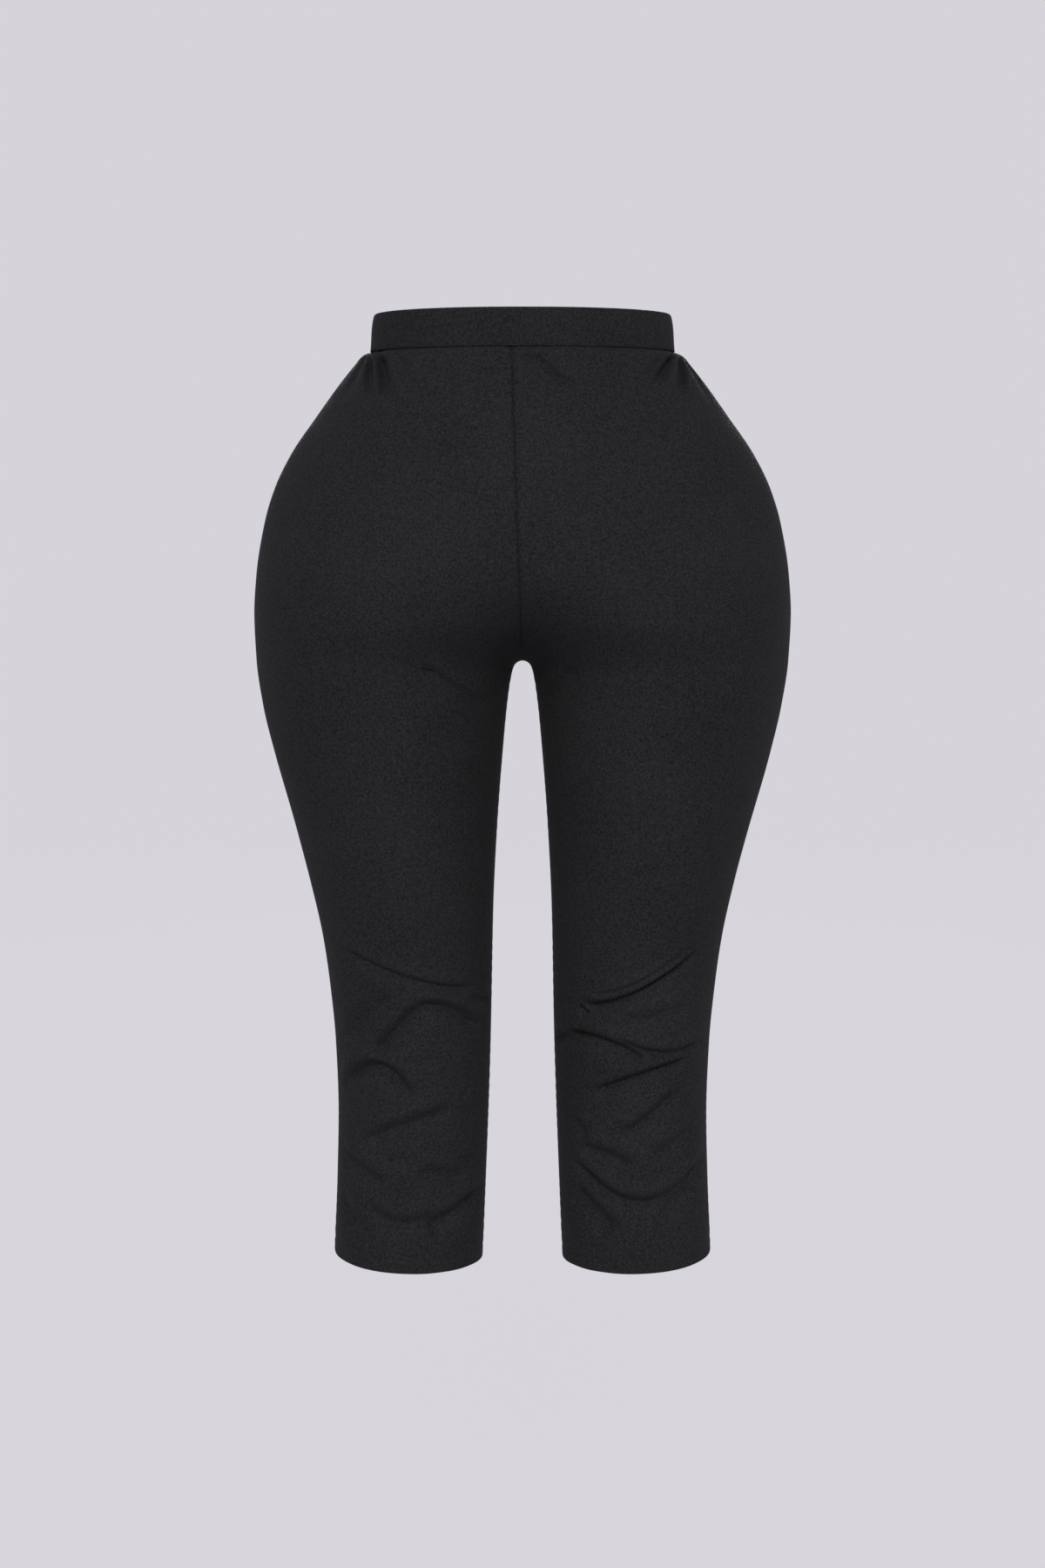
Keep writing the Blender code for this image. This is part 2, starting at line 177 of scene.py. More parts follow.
INSEAM = [
    Gap(-263.5, 0.0),
    Gap(-265.0, 4.4),
    Gap(-267.8, 6.8),
    Gap(-273.6, 8.6),
    Gap(-293.7, 11.8),
    Gap(-336.9, 16.0),
    Gap(-402, 20.9),
    Gap(-468, 24.1),
    Gap(-579, 26.4),
    Gap(-646, 28.6),
    Gap(-762, 33.3),
]

LB = (Leg.LEFT, Face.BACK)
RB = (Leg.RIGHT, Face.BACK)
LF = (Leg.LEFT, Face.FRONT)
RF = (Leg.RIGHT, Face.FRONT)

GATHERS = [
    Gather(*LB, 20, 32, 1.8, 4.6, 43),
    Gather(*LB, 22, 64, 4.0, 4.4, 46),
    Gather(*LB, 36, 67, 4.8, 5.6, 46),
    Gather(*LB, 56, 66, 1.1, 5.2, 44),
    Gather(*RB, 8, 32, 1.6, 5.2, 46),
    Gather(*RB, 10, 68, 4.7, 5.4, 43),
    Gather(*RB, 21, 77, 4.2, 4.6, 35),
    Gather(*RB, 34, 74, 1.4, 6.0, 36),
    Gather(*LF, 12, 30, 1.8, 4.6, 34),
    Gather(*LF, 25, 54, 3.6, 4.9, 38),
    Gather(*LF, 41, 66, 2.7, 5.6, 40),
    Gather(*RF, 10, 34, 2.2, 4.4, 36),
    Gather(*RF, 22, 59, 4.0, 4.8, 36),
    Gather(*RF, 39, 64, 3.0, 5.4, 37),
]

FOLDS = [
    # behind the wearer's left knee and calf
    Fold(*LB, 0.93, -487, 0.06, -528, -6, 2.1, 6.0, 0.9),
    Fold(*LB, 0.90, -570, 0.60, -525, 0, 2.6, 11.0, 0.0),
    Fold(*LB, 0.74, -581, 0.40, -537, 3, 4.0, 8.0, 0.5),
    Fold(*LB, 0.457, -540, 0.05, -565, 12, 4.0, 7.5, 0.5),
    Fold(*LB, 0.95, -613, 0.47, -616, 27, 4.4, 8.0, 0.6),
    Fold(*LB, 0.82, -654, 0.22, -626, 5, 3.3, 8.5, 0.3),
    Fold(*LB, 0.95, -669, 0.66, -688, 0, 3.4, 9.0, 0.2),
    Fold(*LB, 0.42, -673, 0.12, -683, -1, 2.2, 7.0, 0.2),
    Fold(*LB, 0.82, -702, 0.26, -706, -16, 3.0, 8.5, 0.2),
    Fold(*LB, 0.37, -728, 0.02, -702, 0, 4.8, 10.0, 0.1),
    Fold(*LB, 0.95, -707, 0.74, -733, -2, 2.2, 10.0, 0.0),
    # behind the right knee and calf
    Fold(*RB, 0.13, -540, 0.86, -491, -10, 4.2, 6.5, 1.0),
    Fold(*RB, 0.38, -549, 0.82, -541, -3, 1.8, 9.5, 0.0),
    Fold(*RB, 0.00, -579, 0.15, -566, 3, 2.4, 6.0, 0.4),
    Fold(*RB, 0.06, -565, 0.58, -586, 8, 3.6, 7.0, 0.9),
    Fold(*RB, 0.38, -563, 0.93, -572, -9, 2.8, 6.5, 0.9),
    Fold(*RB, 0.20, -612, 0.88, -585, 5, 4.0, 6.5, 0.9),
    Fold(*RB, 0.40, -645, 0.79, -608, -3, 4.0, 8.5, 0.4),
    Fold(*RB, 0.63, -662, 0.87, -645, 0, 2.2, 8.0, 0.2),
    Fold(*RB, 0.14, -660, 0.48, -672, 4, 2.8, 8.0, 0.3),
    Fold(*RB, 0.04, -664, 0.98, -669, -36, 4.4, 8.5, 0.4),
    Fold(*RB, 0.66, -714, 0.90, -694, 0, 3.4, 9.0, 0.2),
    Fold(*RB, 0.08, -698, 0.34, -729, 2, 5.0, 11.0, 0.0),
    # below the seat
    Fold(*LB, 0.35, -259, 0.06, -298, 0, 2.0, 6.2, 0.3),
    Fold(*RB, 0.02, -290, 0.17, -266, 2, 1.6, 7.0, 0.0),
    # before the left knee and shin
    Fold(*LF, 0.12, -520, 0.80, -505, -6, 2.2, 10.6),
    Fold(*LF, 0.92, -560, 0.35, -548, -10, 2.5, 10.6),
    Fold(*LF, 0.05, -600, 0.62, -612, 8, 2.2, 10.0),
    Fold(*LF, 0.95, -640, 0.45, -655, 6, 2.5, 10.6),
    Fold(*LF, 0.10, -690, 0.70, -700, -12, 2.5, 10.6),
    Fold(*LF, 0.92, -705, 0.62, -728, 0, 2.0, 10.6),
    # before the right knee and shin
    Fold(*RF, 0.90, -512, 0.22, -522, -8, 2.2, 10.6),
    Fold(*RF, 0.08, -548, 0.60, -566, 8, 2.5, 10.0),
    Fold(*RF, 0.95, -592, 0.40, -588, -9, 2.5, 10.6),
    Fold(*RF, 0.06, -632, 0.55, -640, -6, 2.0, 10.0),
    Fold(*RF, 0.93, -668, 0.42, -684, 7, 2.5, 10.6),
    Fold(*RF, 0.15, -716, 0.66, -722, -8, 2.2, 10.6),
    # in the front crease of each thigh
    Fold(*LF, 0.30, -262, 0.05, -300, 0, 2.0, 10.0),
    Fold(*RF, 0.28, -258, 0.04, -294, 0, 2.0, 10.0),
]

# Small creases that only the cloth has, and not the plain solids.
CREASES = [
    Fold(*LB, 0.55, -31, 0.61, -39, 0, 0.6, 4.5),
    Fold(*LB, 0.14, -535, 0.01, -543, 0, 1.4, 4.5),
    Fold(*LB, 0.17, -619, 0.12, -608, 0, 1.2, 4.0),
    Fold(*LB, 0.63, -666, 0.51, -663, 0, 0.9, 5.0),
    Fold(*LB, 0.19, -669, 0.04, -672, 0, 1.4, 4.5),
    Fold(*LB, 0.18, -752, 0.05, -738, 0, 1.2, 5.0),
    Fold(*LB, 0.10, -272, 0.03, -290, 0, 1.0, 4.0),
    Fold(*LB, 0.60, -590, 0.30, -583, 5, 0.7, 6.0),
    Fold(*LB, 0.66, -633, 0.40, -640, -4, 0.7, 6.0),
    Fold(*RB, 0.50, -19, 0.60, -46, 1, 2.3, 4.8, 0.2),
    Fold(*RB, 0.14, -541, 0.20, -547, 0, 2.4, 3.2, 0.6),
    Fold(*RB, 0.20, -530, 0.82, -483, -9, 1.9, 3.2, 0.3),
    Fold(*RB, 0.10, -636, 0.19, -649, 0, 2.0, 7.0, 0.0),
    Fold(*RB, 0.12, -676, 0.26, -684, 0, 1.0, 4.5),
    Fold(*RB, 0.70, -520, 0.88, -508, -2, 0.8, 6.0),
    Fold(*RB, 0.20, -594, 0.44, -592, -4, 0.7, 6.0),
    Fold(*LF, 0.40, -532, 0.66, -528, -4, 0.8, 6.0),
    Fold(*LF, 0.20, -574, 0.44, -580, 5, 1.0, 5.5),
    Fold(*LF, 0.58, -630, 0.84, -624, 0, 1.0, 5.5),
    Fold(*LF, 0.16, -660, 0.38, -668, 0, 0.9, 5.5),
    Fold(*RF, 0.62, -540, 0.86, -534, 3, 1.0, 5.5),
    Fold(*RF, 0.22, -600, 0.42, -608, -4, 0.9, 5.5),
    Fold(*RF, 0.56, -624, 0.82, -630, 0, 0.9, 5.5),
    Fold(*RF, 0.10, -690, 0.34, -684, 4, 0.9, 5.5),
]


def smoothstep(t: np.ndarray) -> np.ndarray:
    """0 up to t = 0 and 1 from t = 1, with an even curve between."""
    t = np.clip(t, 0, 1)
    return t * t * (3 - 2 * t)


def bell(off: np.ndarray) -> np.ndarray:
    """A soft bump, 1 at 0 and nearly 0 past 2 on either side."""
    return np.exp(-off * off)


def graded(length: float, count: int, first: float) -> np.ndarray:
    """Place marks along a length whose steps grow evenly from the first one.

    Args:
        length: The whole length.
        count: How many steps it has.
        first: The length of the first step.

    Returns:
        The count + 1 marks, from 0 to the length.
    """
    even = length / count
    steps = first + (even - first) * 2 * np.arange(count) / (count - 1)
    return np.concatenate([[0], np.cumsum(steps)]) * length / steps.sum()


def lengths_along(points: np.ndarray) -> np.ndarray:
    """Measure lines of points.

    Args:
        points: The points of one line, or of each row of a grid.

    Returns:
        The length of its line up to each point.
    """
    steps = np.linalg.norm(np.diff(points, axis=-2), axis=-1)
    start = np.zeros((*steps.shape[:-1], 1))
    return np.concatenate([start, np.cumsum(steps, axis=-1)], axis=-1)


def band_name(face: Face) -> str:
    """The name of the band's solid on one face of the garment."""
    return f"waistband_{face.name}".lower()


class Curve:
    """A smooth curve through a table's values that never overshoots them."""

    def __init__(self, heights: list[float], values: list[float]) -> None:
        """Fit the curve.

        Args:
            heights: The heights at which the values are known, in any order.
            values: The value at each of them.
        """
        order = np.argsort(heights)
        self.x = np.array(heights, float)[order]
        self.y = np.array(values, float)[order]
        self.step = np.diff(self.x)
        slope = np.diff(self.y) / self.step
        self.tangent = np.zeros(len(self.x))
        self.tangent[0], self.tangent[-1] = slope[0], slope[-1]
        for i in range(1, len(self.x) - 1):
            if slope[i - 1] * slope[i] > 0:
                before = 2 * self.step[i] + self.step[i - 1]
                after = self.step[i] + 2 * self.step[i - 1]
                mean = before / slope[i - 1] + after / slope[i]
                self.tangent[i] = (before + after) / mean

    def at(self, height: np.ndarray) -> np.ndarray:
        """Read the curve.

        Args:
            height: The heights to read it at.

        Returns:
            The curve's value at each height.
        """
        h = np.clip(height, self.x[0], self.x[-1])
        i = np.clip(np.searchsorted(self.x, h) - 1, 0, len(self.step) - 1)
        step = self.step[i]
        t = (h - self.x[i]) / step
        start = self.y[i] * (1 + 2 * t) + self.tangent[i] * step * t
        end = self.y[i + 1] * (3 - 2 * t) - self.tangent[i + 1] * step * (1 - t)
        return start * (1 - t) ** 2 + end * t * t


@dataclass
class Form:
    """The smooth form of the filled-out garment, which every cloth piece follows.

    Seen from above, each leg is a ring of two half ellipses. Above the fork the two rings
    overlap, and they are drawn across a softened distance from the centre plane, so that
    they meet in a soft saddle.
    """

    band_bottom: float = -15.0
    fork_height: float = -263.5
    fork_rounding: float = 8.0
    fork_fall: float = 118.0
    seat_fall: float = 83.0
    seam_lean: float = -8.6
    normal_step: float = 0.05
    girth_parts: int = 12
    sections: list[Section] = field(default_factory=lambda: SECTIONS)
    inseam: list[Gap] = field(default_factory=lambda: INSEAM)

    def __post_init__(self) -> None:
        """Fit the curves of the two tables."""
        heights = [s.height for s in self.sections]
        self.outer = Curve(heights, [s.outer for s in self.sections])
        self.side = Curve(heights, [s.side for s in self.sections])
        self.depth = {
            Face.BACK: Curve(heights, [s.back for s in self.sections]),
            Face.FRONT: Curve(heights, [s.front for s in self.sections]),
        }
        inner = [float(self.soften(g.half_gap)) for g in self.inseam]
        self.inner = Curve([g.height for g in self.inseam], inner)

    def soften(self, x: np.ndarray) -> np.ndarray:
        """The softened distance from the centre plane."""
        return np.sqrt(x * x + self.fork_rounding**2)

    def ring(self, height: np.ndarray) -> tuple[np.ndarray, np.ndarray]:
        """Find a leg's ring.

        Args:
            height: The heights to find it at.

        Returns:
            The middle and the half width of the ring, as softened distances.
        """
        rise = np.maximum(height - self.fork_height, 0)
        parted = np.exp(-rise / self.fork_fall - (rise / self.seat_fall) ** 2)
        outside = self.soften(self.outer.at(height))
        overlapped = outside - 2 * (outside - self.fork_rounding) / (1 + parted)
        inside = np.where(height > self.fork_height, overlapped, self.inner.at(height))
        return (outside + inside) / 2, (outside - inside) / 2

    def inner_edge(self, height: np.ndarray) -> np.ndarray:
        """Find where a panel ends on its ring, which starts at the side seam with angle 0.

        Args:
            height: The heights to find its edge at.

        Returns:
            The angle of the centre seam or inseam.
        """
        middle, half = self.ring(height)
        return np.arccos(np.clip((self.fork_rounding - middle) / half, -1, 1))

    def surface(
        self, height: np.ndarray, angle: np.ndarray, face: Face
    ) -> tuple[np.ndarray, np.ndarray]:
        """Place points on the right leg's smooth surface.

        Args:
            height: The points' heights.
            angle: Their angles on the ring, from 0 at the side seam.
            face: The garment's face that they are on.

        Returns:
            The points, and the directions that face straight out of the surface there.
        """
        middle, half = self.ring(height)
        depth = self.depth[face].at(height)
        soft = middle + half * np.cos(angle)
        y = self.side.at(height) + face.value * depth * np.sin(angle)
        x = np.sqrt(np.maximum(soft**2 - self.fork_rounding**2, 0))
        slope = self.level(height + self.normal_step, soft, y, face)
        slope = slope - self.level(height - self.normal_step, soft, y, face)
        across = 2 * (soft - middle) / half**2 * x / soft
        deep = 2 * (y - self.side.at(height)) / depth**2
        out = np.stack([across, deep, slope / (2 * self.normal_step)], axis=-1)
        out /= np.linalg.norm(out, axis=-1, keepdims=True)
        return np.stack([x, y, height + 0 * x], axis=-1), out

    def level(
        self, height: np.ndarray, soft: np.ndarray, y: np.ndarray, face: Face
    ) -> np.ndarray:
        """Tell how far out of the surface points are.

        Args:
            height: The points' heights.
            soft: Their softened distances from the centre plane.
            y: Their places from back to front.
            face: The garment's face that they are on.

        Returns:
            1 on the surface, less inside it and more outside.
        """
        middle, half = self.ring(height)
        deep = (y - self.side.at(height)) / self.depth[face].at(height)
        return ((soft - middle) / half) ** 2 + deep**2

    def lean(
        self, height: np.ndarray, angle: np.ndarray, leg: Leg
    ) -> tuple[np.ndarray, np.ndarray]:
        """Draw a back panel's points sideways with the centre back seam, which leans.

        Args:
            height: The points' heights.
            angle: Their angles on the ring, before the seam leans.
            leg: The leg that the panel belongs to.

        Returns:
            The angles after it leans, and -1 for points past the centre plane, else 1.
        """
        middle, half = self.ring(height)
        soft = middle + half * np.cos(angle)
        x = leg.value * np.sqrt(np.maximum(soft**2 - self.fork_rounding**2, 0))
        rise = (height - self.fork_height) / (self.band_bottom - self.fork_height)
        reach = 1 - (x / self.outer.at(height)) ** 2
        x = x + self.seam_lean * np.clip(rise, 0, 1) * reach**2
        leaned = np.arccos(np.clip((self.soften(x) - middle) / half, -1, 1))
        return leaned, np.where(x * leg.value < 0, -1, 1)

    def girth(self, height: np.ndarray, angle: np.ndarray, face: Face) -> np.ndarray:
        """Measure the cloth from the side seam round to a point.

        Args:
            height: The points' heights.
            angle: Their angles on the ring.
            face: The garment's face that they are on.

        Returns:
            The length of cloth to each point.
        """
        _, half = self.ring(height)
        depth = self.depth[face].at(height)
        total = np.zeros(np.shape(height))
        for i in range(self.girth_parts):
            a = angle * (i + 0.5) / self.girth_parts
            run = np.hypot(half * np.sin(a), depth * np.cos(a))
            total = total + run * angle / self.girth_parts
        return total


@dataclass(frozen=True)
class Net:
    """The points of a panel's cloth, with one value for each in rows and columns.

    `girth` is the cloth from the side seam, measured round the form at the point's height.
    `to_side` and `to_inner` are the cloth along the row to the side seam and to the centre
    seam or inseam. `drop` is the way down from the waistband, and `above_hem` the way up
    from the hem's edge.
    """

    height: np.ndarray
    girth: np.ndarray
    to_side: np.ndarray
    to_inner: np.ndarray
    drop: np.ndarray
    above_hem: np.ndarray

    @property
    def to_edge(self) -> np.ndarray:
        """The cloth from each point to the nearer of the panel's two seams."""
        return np.minimum(self.to_side, self.to_inner)


@dataclass
class Drape:
    """How the cloth leaves the smooth form: its gathers, folds, creases and slow waves."""

    form: Form
    gather_growth: float = 0.25
    gather_curve: float = 0.7
    gather_at_band: float = 0.15
    gather_middle: float = 0.24
    gather_end: float = 1.08
    gather_fade: float = 0.65
    gather_tuck: float = 4.2
    gather_ridge: float = 0.10
    ridge_place: float = 1.6
    gather_press: float = 3.0
    rise_above: float = 0.40
    soft_rise: float = 0.85
    fall_below: float = 1.05
    roll_share: float = 0.42
    roll_place: float = 1.15
    roll_width: float = 0.75
    end_share: float = 0.17
    fold_press: float = 1.4
    pinch_share: float = 0.34
    pinch_width: float = 0.24
    fold_steps: int = 16
    least_distance: float = 1e-6
    band_fade: float = 5.0
    edge_fade: float = 9.0
    edge_share: float = 0.15
    wave_height: float = 0.42
    wave_fade: float = 26.0
    long_wave: tuple[float, float] = (31.0, 47.0)
    cross_wave: tuple[float, float] = (19.0, 29.0)
    bent_wave: tuple[float, float] = (43.0, 17.0)
    wave_bend: float = 1.6
    cross_turn: float = 2.3
    cross_share: float = 0.6
    bent_share: float = 0.5
    leg_turn: float = 1.7
    face_turn: float = 0.9

    def gather(self, gather: Gather, net: Net) -> np.ndarray:
        """Press one gather into the cloth.

        Args:
            gather: The gather.
            net: The panel's points.

        Returns:
            How far it moves each point towards the garment's back or front.
        """
        drop = net.drop / gather.length
        width = gather.width * (1 + self.gather_growth * np.clip(drop, 0, 1))
        path = gather.away + gather.lean * np.maximum(drop, 0) ** self.gather_curve
        off = (net.girth - path) / width
        start = self.gather_at_band
        below = start + (1 - start) * smoothstep(drop / self.gather_middle)
        tucked = start * smoothstep(1 + drop * gather.length / self.gather_tuck)
        fade = np.where(drop > 0, below, tucked)
        fade = fade * smoothstep((self.gather_end - drop) / self.gather_fade)
        ridges = bell(off - self.ridge_place) + bell(off + self.ridge_place)
        shape = self.gather_ridge * ridges - bell(off)
        return self.gather_press * gather.depth * fade * shape

    def fold_line(self, fold: Fold) -> np.ndarray:
        """Lay out the line of a fold on its panel.

        Args:
            fold: The fold.

        Returns:
            Its points as (cloth from the side seam, height) pairs.
        """
        t = np.linspace(0, 1, self.fold_steps + 1)
        across = fold.across + (fold.across_end - fold.across) * t
        height = fold.height + (fold.height_end - fold.height) * t
        height = height + 4 * fold.bow * t * (1 - t)
        angle = np.arccos(np.clip(2 * across - 1, -1, 1))
        return np.stack([self.form.girth(height, angle, fold.face), height], axis=-1)

    def fold(self, fold: Fold, net: Net) -> np.ndarray:
        """Press one fold into the cloth: a steep upper wall with a roll above it.

        Args:
            fold: The fold.
            net: The panel's points.

        Returns:
            How far it moves each point out.
        """
        line = self.fold_line(fold)
        place = np.stack([net.girth, net.height], axis=-1)
        nearest = np.full(net.height.shape, np.inf)
        above = np.zeros(net.height.shape)
        travelled = np.zeros(net.height.shape)
        for i in range(self.fold_steps):
            start, run = line[i], line[i + 1] - line[i]
            t = np.clip((place - start) @ run / (run @ run), 0, 1)
            away = place - start - t[..., None] * run
            distance = np.linalg.norm(away, axis=-1)
            upright = np.array([-run[1], run[0]]) * np.sign(run[0]) / np.hypot(*run)
            facing = away @ upright / np.maximum(distance, self.least_distance)
            closer = distance < nearest
            nearest = np.where(closer, distance, nearest)
            above = np.where(closer, facing, above)
            travelled = np.where(closer, (i + t) / self.fold_steps, travelled)
        off = nearest / fold.width
        upper = smoothstep((above + 1) / 2)
        rise = self.rise_above + (self.soft_rise - self.rise_above) * (1 - fold.crisp)
        wall = self.fall_below + (rise - self.fall_below) * upper
        roll = upper * bell((off - self.roll_place) / self.roll_width)
        fade = smoothstep(np.minimum(travelled, 1 - travelled) / self.end_share)
        pinch = fold.crisp * self.pinch_share * bell(off / self.pinch_width)
        shape = self.roll_share * roll - bell(off / wall) - pinch
        return self.fold_press * fold.depth * fade * shape

    def waves(self, net: Net, turn: float) -> np.ndarray:
        """Add the slow unevenness that cloth has where it hangs smooth.

        Args:
            net: The panel's points.
            turn: An angle that sets one panel's waves apart from another's.

        Returns:
            How far it moves each point out.
        """
        down, over = self.long_wave
        total = np.sin(net.height / down + net.girth / over + turn)
        down, over = self.cross_wave
        crossing = np.sin(net.height / down - net.girth / over + self.cross_turn * turn)
        down, over = self.bent_wave
        bend = np.sin(net.height / down + turn) * self.wave_bend
        bent = np.sin(net.girth / over + bend)
        total = total + self.cross_share * crossing + self.bent_share * bent
        return self.wave_height * total / (1 + self.cross_share + self.bent_share)

    def relief(self, leg: Leg, face: Face, net: Net) -> np.ndarray:
        """Add up a panel's folds, creases and slow waves.

        Args:
            leg: The panel's leg.
            face: The panel's face.
            net: Its points.

        Returns:
            How far the cloth moves out at each point.
        """
        total = np.zeros(net.height.shape)
        for fold in FOLDS + CREASES:
            if (fold.leg, fold.face) == (leg, face):
                total += self.fold(fold, net)
        total *= smoothstep(net.drop / self.band_fade)
        total *= smoothstep(net.to_edge / self.edge_fade + self.edge_share)
        turn = self.leg_turn * leg.value + self.face_turn * face.value
        return total + self.waves(net, turn) * smoothstep(net.to_edge / self.wave_fade)

    def gathered(self, leg: Leg, face: Face, net: Net) -> np.ndarray:
        """Add up a panel's gathers, which are pressed straight in from the back or front.

        Args:
            leg: The panel's leg.
            face: The panel's face.
            net: Its points.

        Returns:
            How far the cloth moves towards the garment's back or front at each point.
        """
        total = np.zeros(net.height.shape)
        for gather in GATHERS:
            if (gather.leg, gather.face) == (leg, face):
                total += self.gather(gather, net)
        return total * smoothstep(net.to_edge / self.edge_fade)


def blank_material(name: str) -> tuple[bpy.types.Material, bpy.types.Node]:
    """Start a material.

    Args:
        name: Its name.

    Returns:
        The material and its shader.
    """
    made = bpy.data.materials.new(name)
    made.use_nodes = True
    return made, made.node_tree.nodes["Principled BSDF"]


def blend_colours(
    tree: bpy.types.NodeTree,
    share: bpy.types.NodeSocket,
    start: tuple[float, float, float],
    end: tuple[float, float, float],
) -> bpy.types.NodeSocket:
    """Blend one colour into another.

    Args:
        tree: The material's node tree.
        share: The socket of the second colour's share.
        start: The first colour.
        end: The second colour.

    Returns:
        The blended colour's socket.
    """
    mix = tree.nodes.new("ShaderNodeMix")
    mix.data_type = "RGBA"
    mix.inputs["A"].default_value = (*start, 1)
    mix.inputs["B"].default_value = (*end, 1)
    tree.links.new(share, mix.inputs["Factor"])
    return mix.outputs["Result"]


@dataclass(frozen=True)
class Crepe:
    """The finish of the cloth: black crepe knit with a fine pebbled grain.

    Its scales are grains to a metre, and its depths are in metres.
    """

    name: str = "black_crepe"
    dark: tuple[float, float, float] = (0.0049, 0.0050, 0.0055)
    light: tuple[float, float, float] = (0.0169, 0.0173, 0.0181)
    grain_scale: float = 600.0
    grain_detail: float = 2.0
    pebble_scale: float = 520.0
    fuzz_scale: float = 2600.0
    fuzz_detail: float = 1.0
    cast_scale: float = 13.0
    noise_range: tuple[float, float] = (0.30, 0.70)
    grain_share: float = 0.86
    cast_share: float = 0.14
    grain_depth: float = 0.00022
    pebble_depth: float = 0.00016
    pebble_softness: float = 0.7
    roughness: tuple[float, float] = (0.78, 0.96)
    specular: float = 0.05
    sheen: float = 0.012
    sheen_roughness: float = 0.55
    sheen_tint: tuple[float, float, float] = (0.80, 0.80, 0.86)

    def noise(
        self, tree: bpy.types.NodeTree, scale: float, detail: float
    ) -> bpy.types.NodeSocket:
        """Add a noise pattern that is fixed to the cloth.

        Args:
            tree: The material's node tree.
            scale: How many of its grains a metre holds.
            detail: How many finer layers it has.

        Returns:
            The noise's socket.
        """
        node = tree.nodes.new("ShaderNodeTexNoise")
        node.inputs["Scale"].default_value = scale
        node.inputs["Detail"].default_value = detail
        tree.links.new(self.place(tree), node.inputs["Vector"])
        return node.outputs["Fac"]

    def place(self, tree: bpy.types.NodeTree) -> bpy.types.NodeSocket:
        """Find the place on the cloth, with a node that is made once in each tree.

        Args:
            tree: The material's node tree.

        Returns:
            The place's socket.
        """
        found = tree.nodes.get("place") or tree.nodes.new("ShaderNodeTexCoord")
        found.name = "place"
        return found.outputs["Object"]

    def spread(
        self,
        tree: bpy.types.NodeTree,
        value: bpy.types.NodeSocket,
        wanted: tuple[float, float],
    ) -> bpy.types.NodeSocket:
        """Stretch a noise to another range.

        Args:
            tree: The material's node tree.
            value: The noise's socket.
            wanted: The range that it gets.

        Returns:
            The stretched noise's socket.
        """
        node = tree.nodes.new("ShaderNodeMapRange")
        for kind, (low, high) in (("From", self.noise_range), ("To", wanted)):
            node.inputs[f"{kind} Min"].default_value = low
            node.inputs[f"{kind} Max"].default_value = high
        tree.links.new(value, node.inputs["Value"])
        return node.outputs["Result"]

    def bump(
        self,
        tree: bpy.types.NodeTree,
        height: bpy.types.NodeSocket,
        depth: float,
        below: bpy.types.NodeSocket | None,
    ) -> bpy.types.NodeSocket:
        """Raise a pattern out of the cloth.

        Args:
            tree: The material's node tree.
            height: The pattern's socket.
            depth: Its height in metres.
            below: The normal that it is laid over, if there is one.

        Returns:
            The normal with the pattern raised.
        """
        node = tree.nodes.new("ShaderNodeBump")
        node.inputs["Strength"].default_value = 1.0
        node.inputs["Distance"].default_value = depth
        tree.links.new(height, node.inputs["Height"])
        if below is not None:
            tree.links.new(below, node.inputs["Normal"])
        return node.outputs["Normal"]

    def material(self) -> bpy.types.Material:
        """Build the finish.

        Returns:
            The material.
        """
        made, shader = blank_material(self.name)
        tree = made.node_tree
        grain = self.noise(tree, self.grain_scale, self.grain_detail)
        fuzz = self.noise(tree, self.fuzz_scale, self.fuzz_detail)
        cast = self.noise(tree, self.cast_scale, self.grain_detail)
        pebbles = tree.nodes.new("ShaderNodeTexVoronoi")
        pebbles.feature = "SMOOTH_F1"
        pebbles.inputs["Scale"].default_value = self.pebble_scale
        pebbles.inputs["Smoothness"].default_value = self.pebble_softness
        tree.links.new(self.place(tree), pebbles.inputs["Vector"])

        tone = tree.nodes.new("ShaderNodeMath")
        tone.operation = "ADD"
        tree.links.new(self.spread(tree, grain, (0.0, self.grain_share)), tone.inputs[0])
        tree.links.new(self.spread(tree, cast, (0.0, self.cast_share)), tone.inputs[1])
        colour = blend_colours(tree, tone.outputs[0], self.dark, self.light)
        tree.links.new(colour, shader.inputs["Base Color"])
        rough = self.spread(tree, fuzz, self.roughness)
        tree.links.new(rough, shader.inputs["Roughness"])

        normal = self.bump(tree, pebbles.outputs["Distance"], -self.pebble_depth, None)
        normal = self.bump(tree, grain, self.grain_depth, normal)
        tree.links.new(normal, shader.inputs["Normal"])
        shader.inputs["Specular IOR Level"].default_value = self.specular
        shader.inputs["Sheen Weight"].default_value = self.sheen
        shader.inputs["Sheen Roughness"].default_value = self.sheen_roughness
        shader.inputs["Sheen Tint"].default_value = (*self.sheen_tint, 1)
        return made


@dataclass(frozen=True)
class Thread:
    """The finish of the sewing thread: spun black polyester, with a painted highlight in lighter
    bands along its twist.
    """

    name: str = "black_thread"
    colour: tuple[float, float, float] = (0.0070, 0.0070, 0.0078)
    # painted highlight: the lighter colour of the thread's shine
    painted_shine: tuple[float, float, float] = (0.0150, 0.0150, 0.0165)
    twist_scale: float = 2200.0
    roughness: float = 0.62
    specular: float = 0.12

    def material(self) -> bpy.types.Material:
        """Build the finish.

        Returns:
            The material.
        """
        made, shader = blank_material(self.name)
        tree = made.node_tree
        place = tree.nodes.new("ShaderNodeTexCoord")
        twist = tree.nodes.new("ShaderNodeTexWave")
        twist.bands_direction = "DIAGONAL"
        twist.inputs["Scale"].default_value = self.twist_scale
        tree.links.new(place.outputs["Object"], twist.inputs["Vector"])
        # painted highlight: the thread's shine is painted into its colour as lighter bands along
        # the twist
        colour = blend_colours(tree, twist.outputs["Fac"], self.colour, self.painted_shine)
        tree.links.new(colour, shader.inputs["Base Color"])
        shader.inputs["Roughness"].default_value = self.roughness
        shader.inputs["Specular IOR Level"].default_value = self.specular
        return made


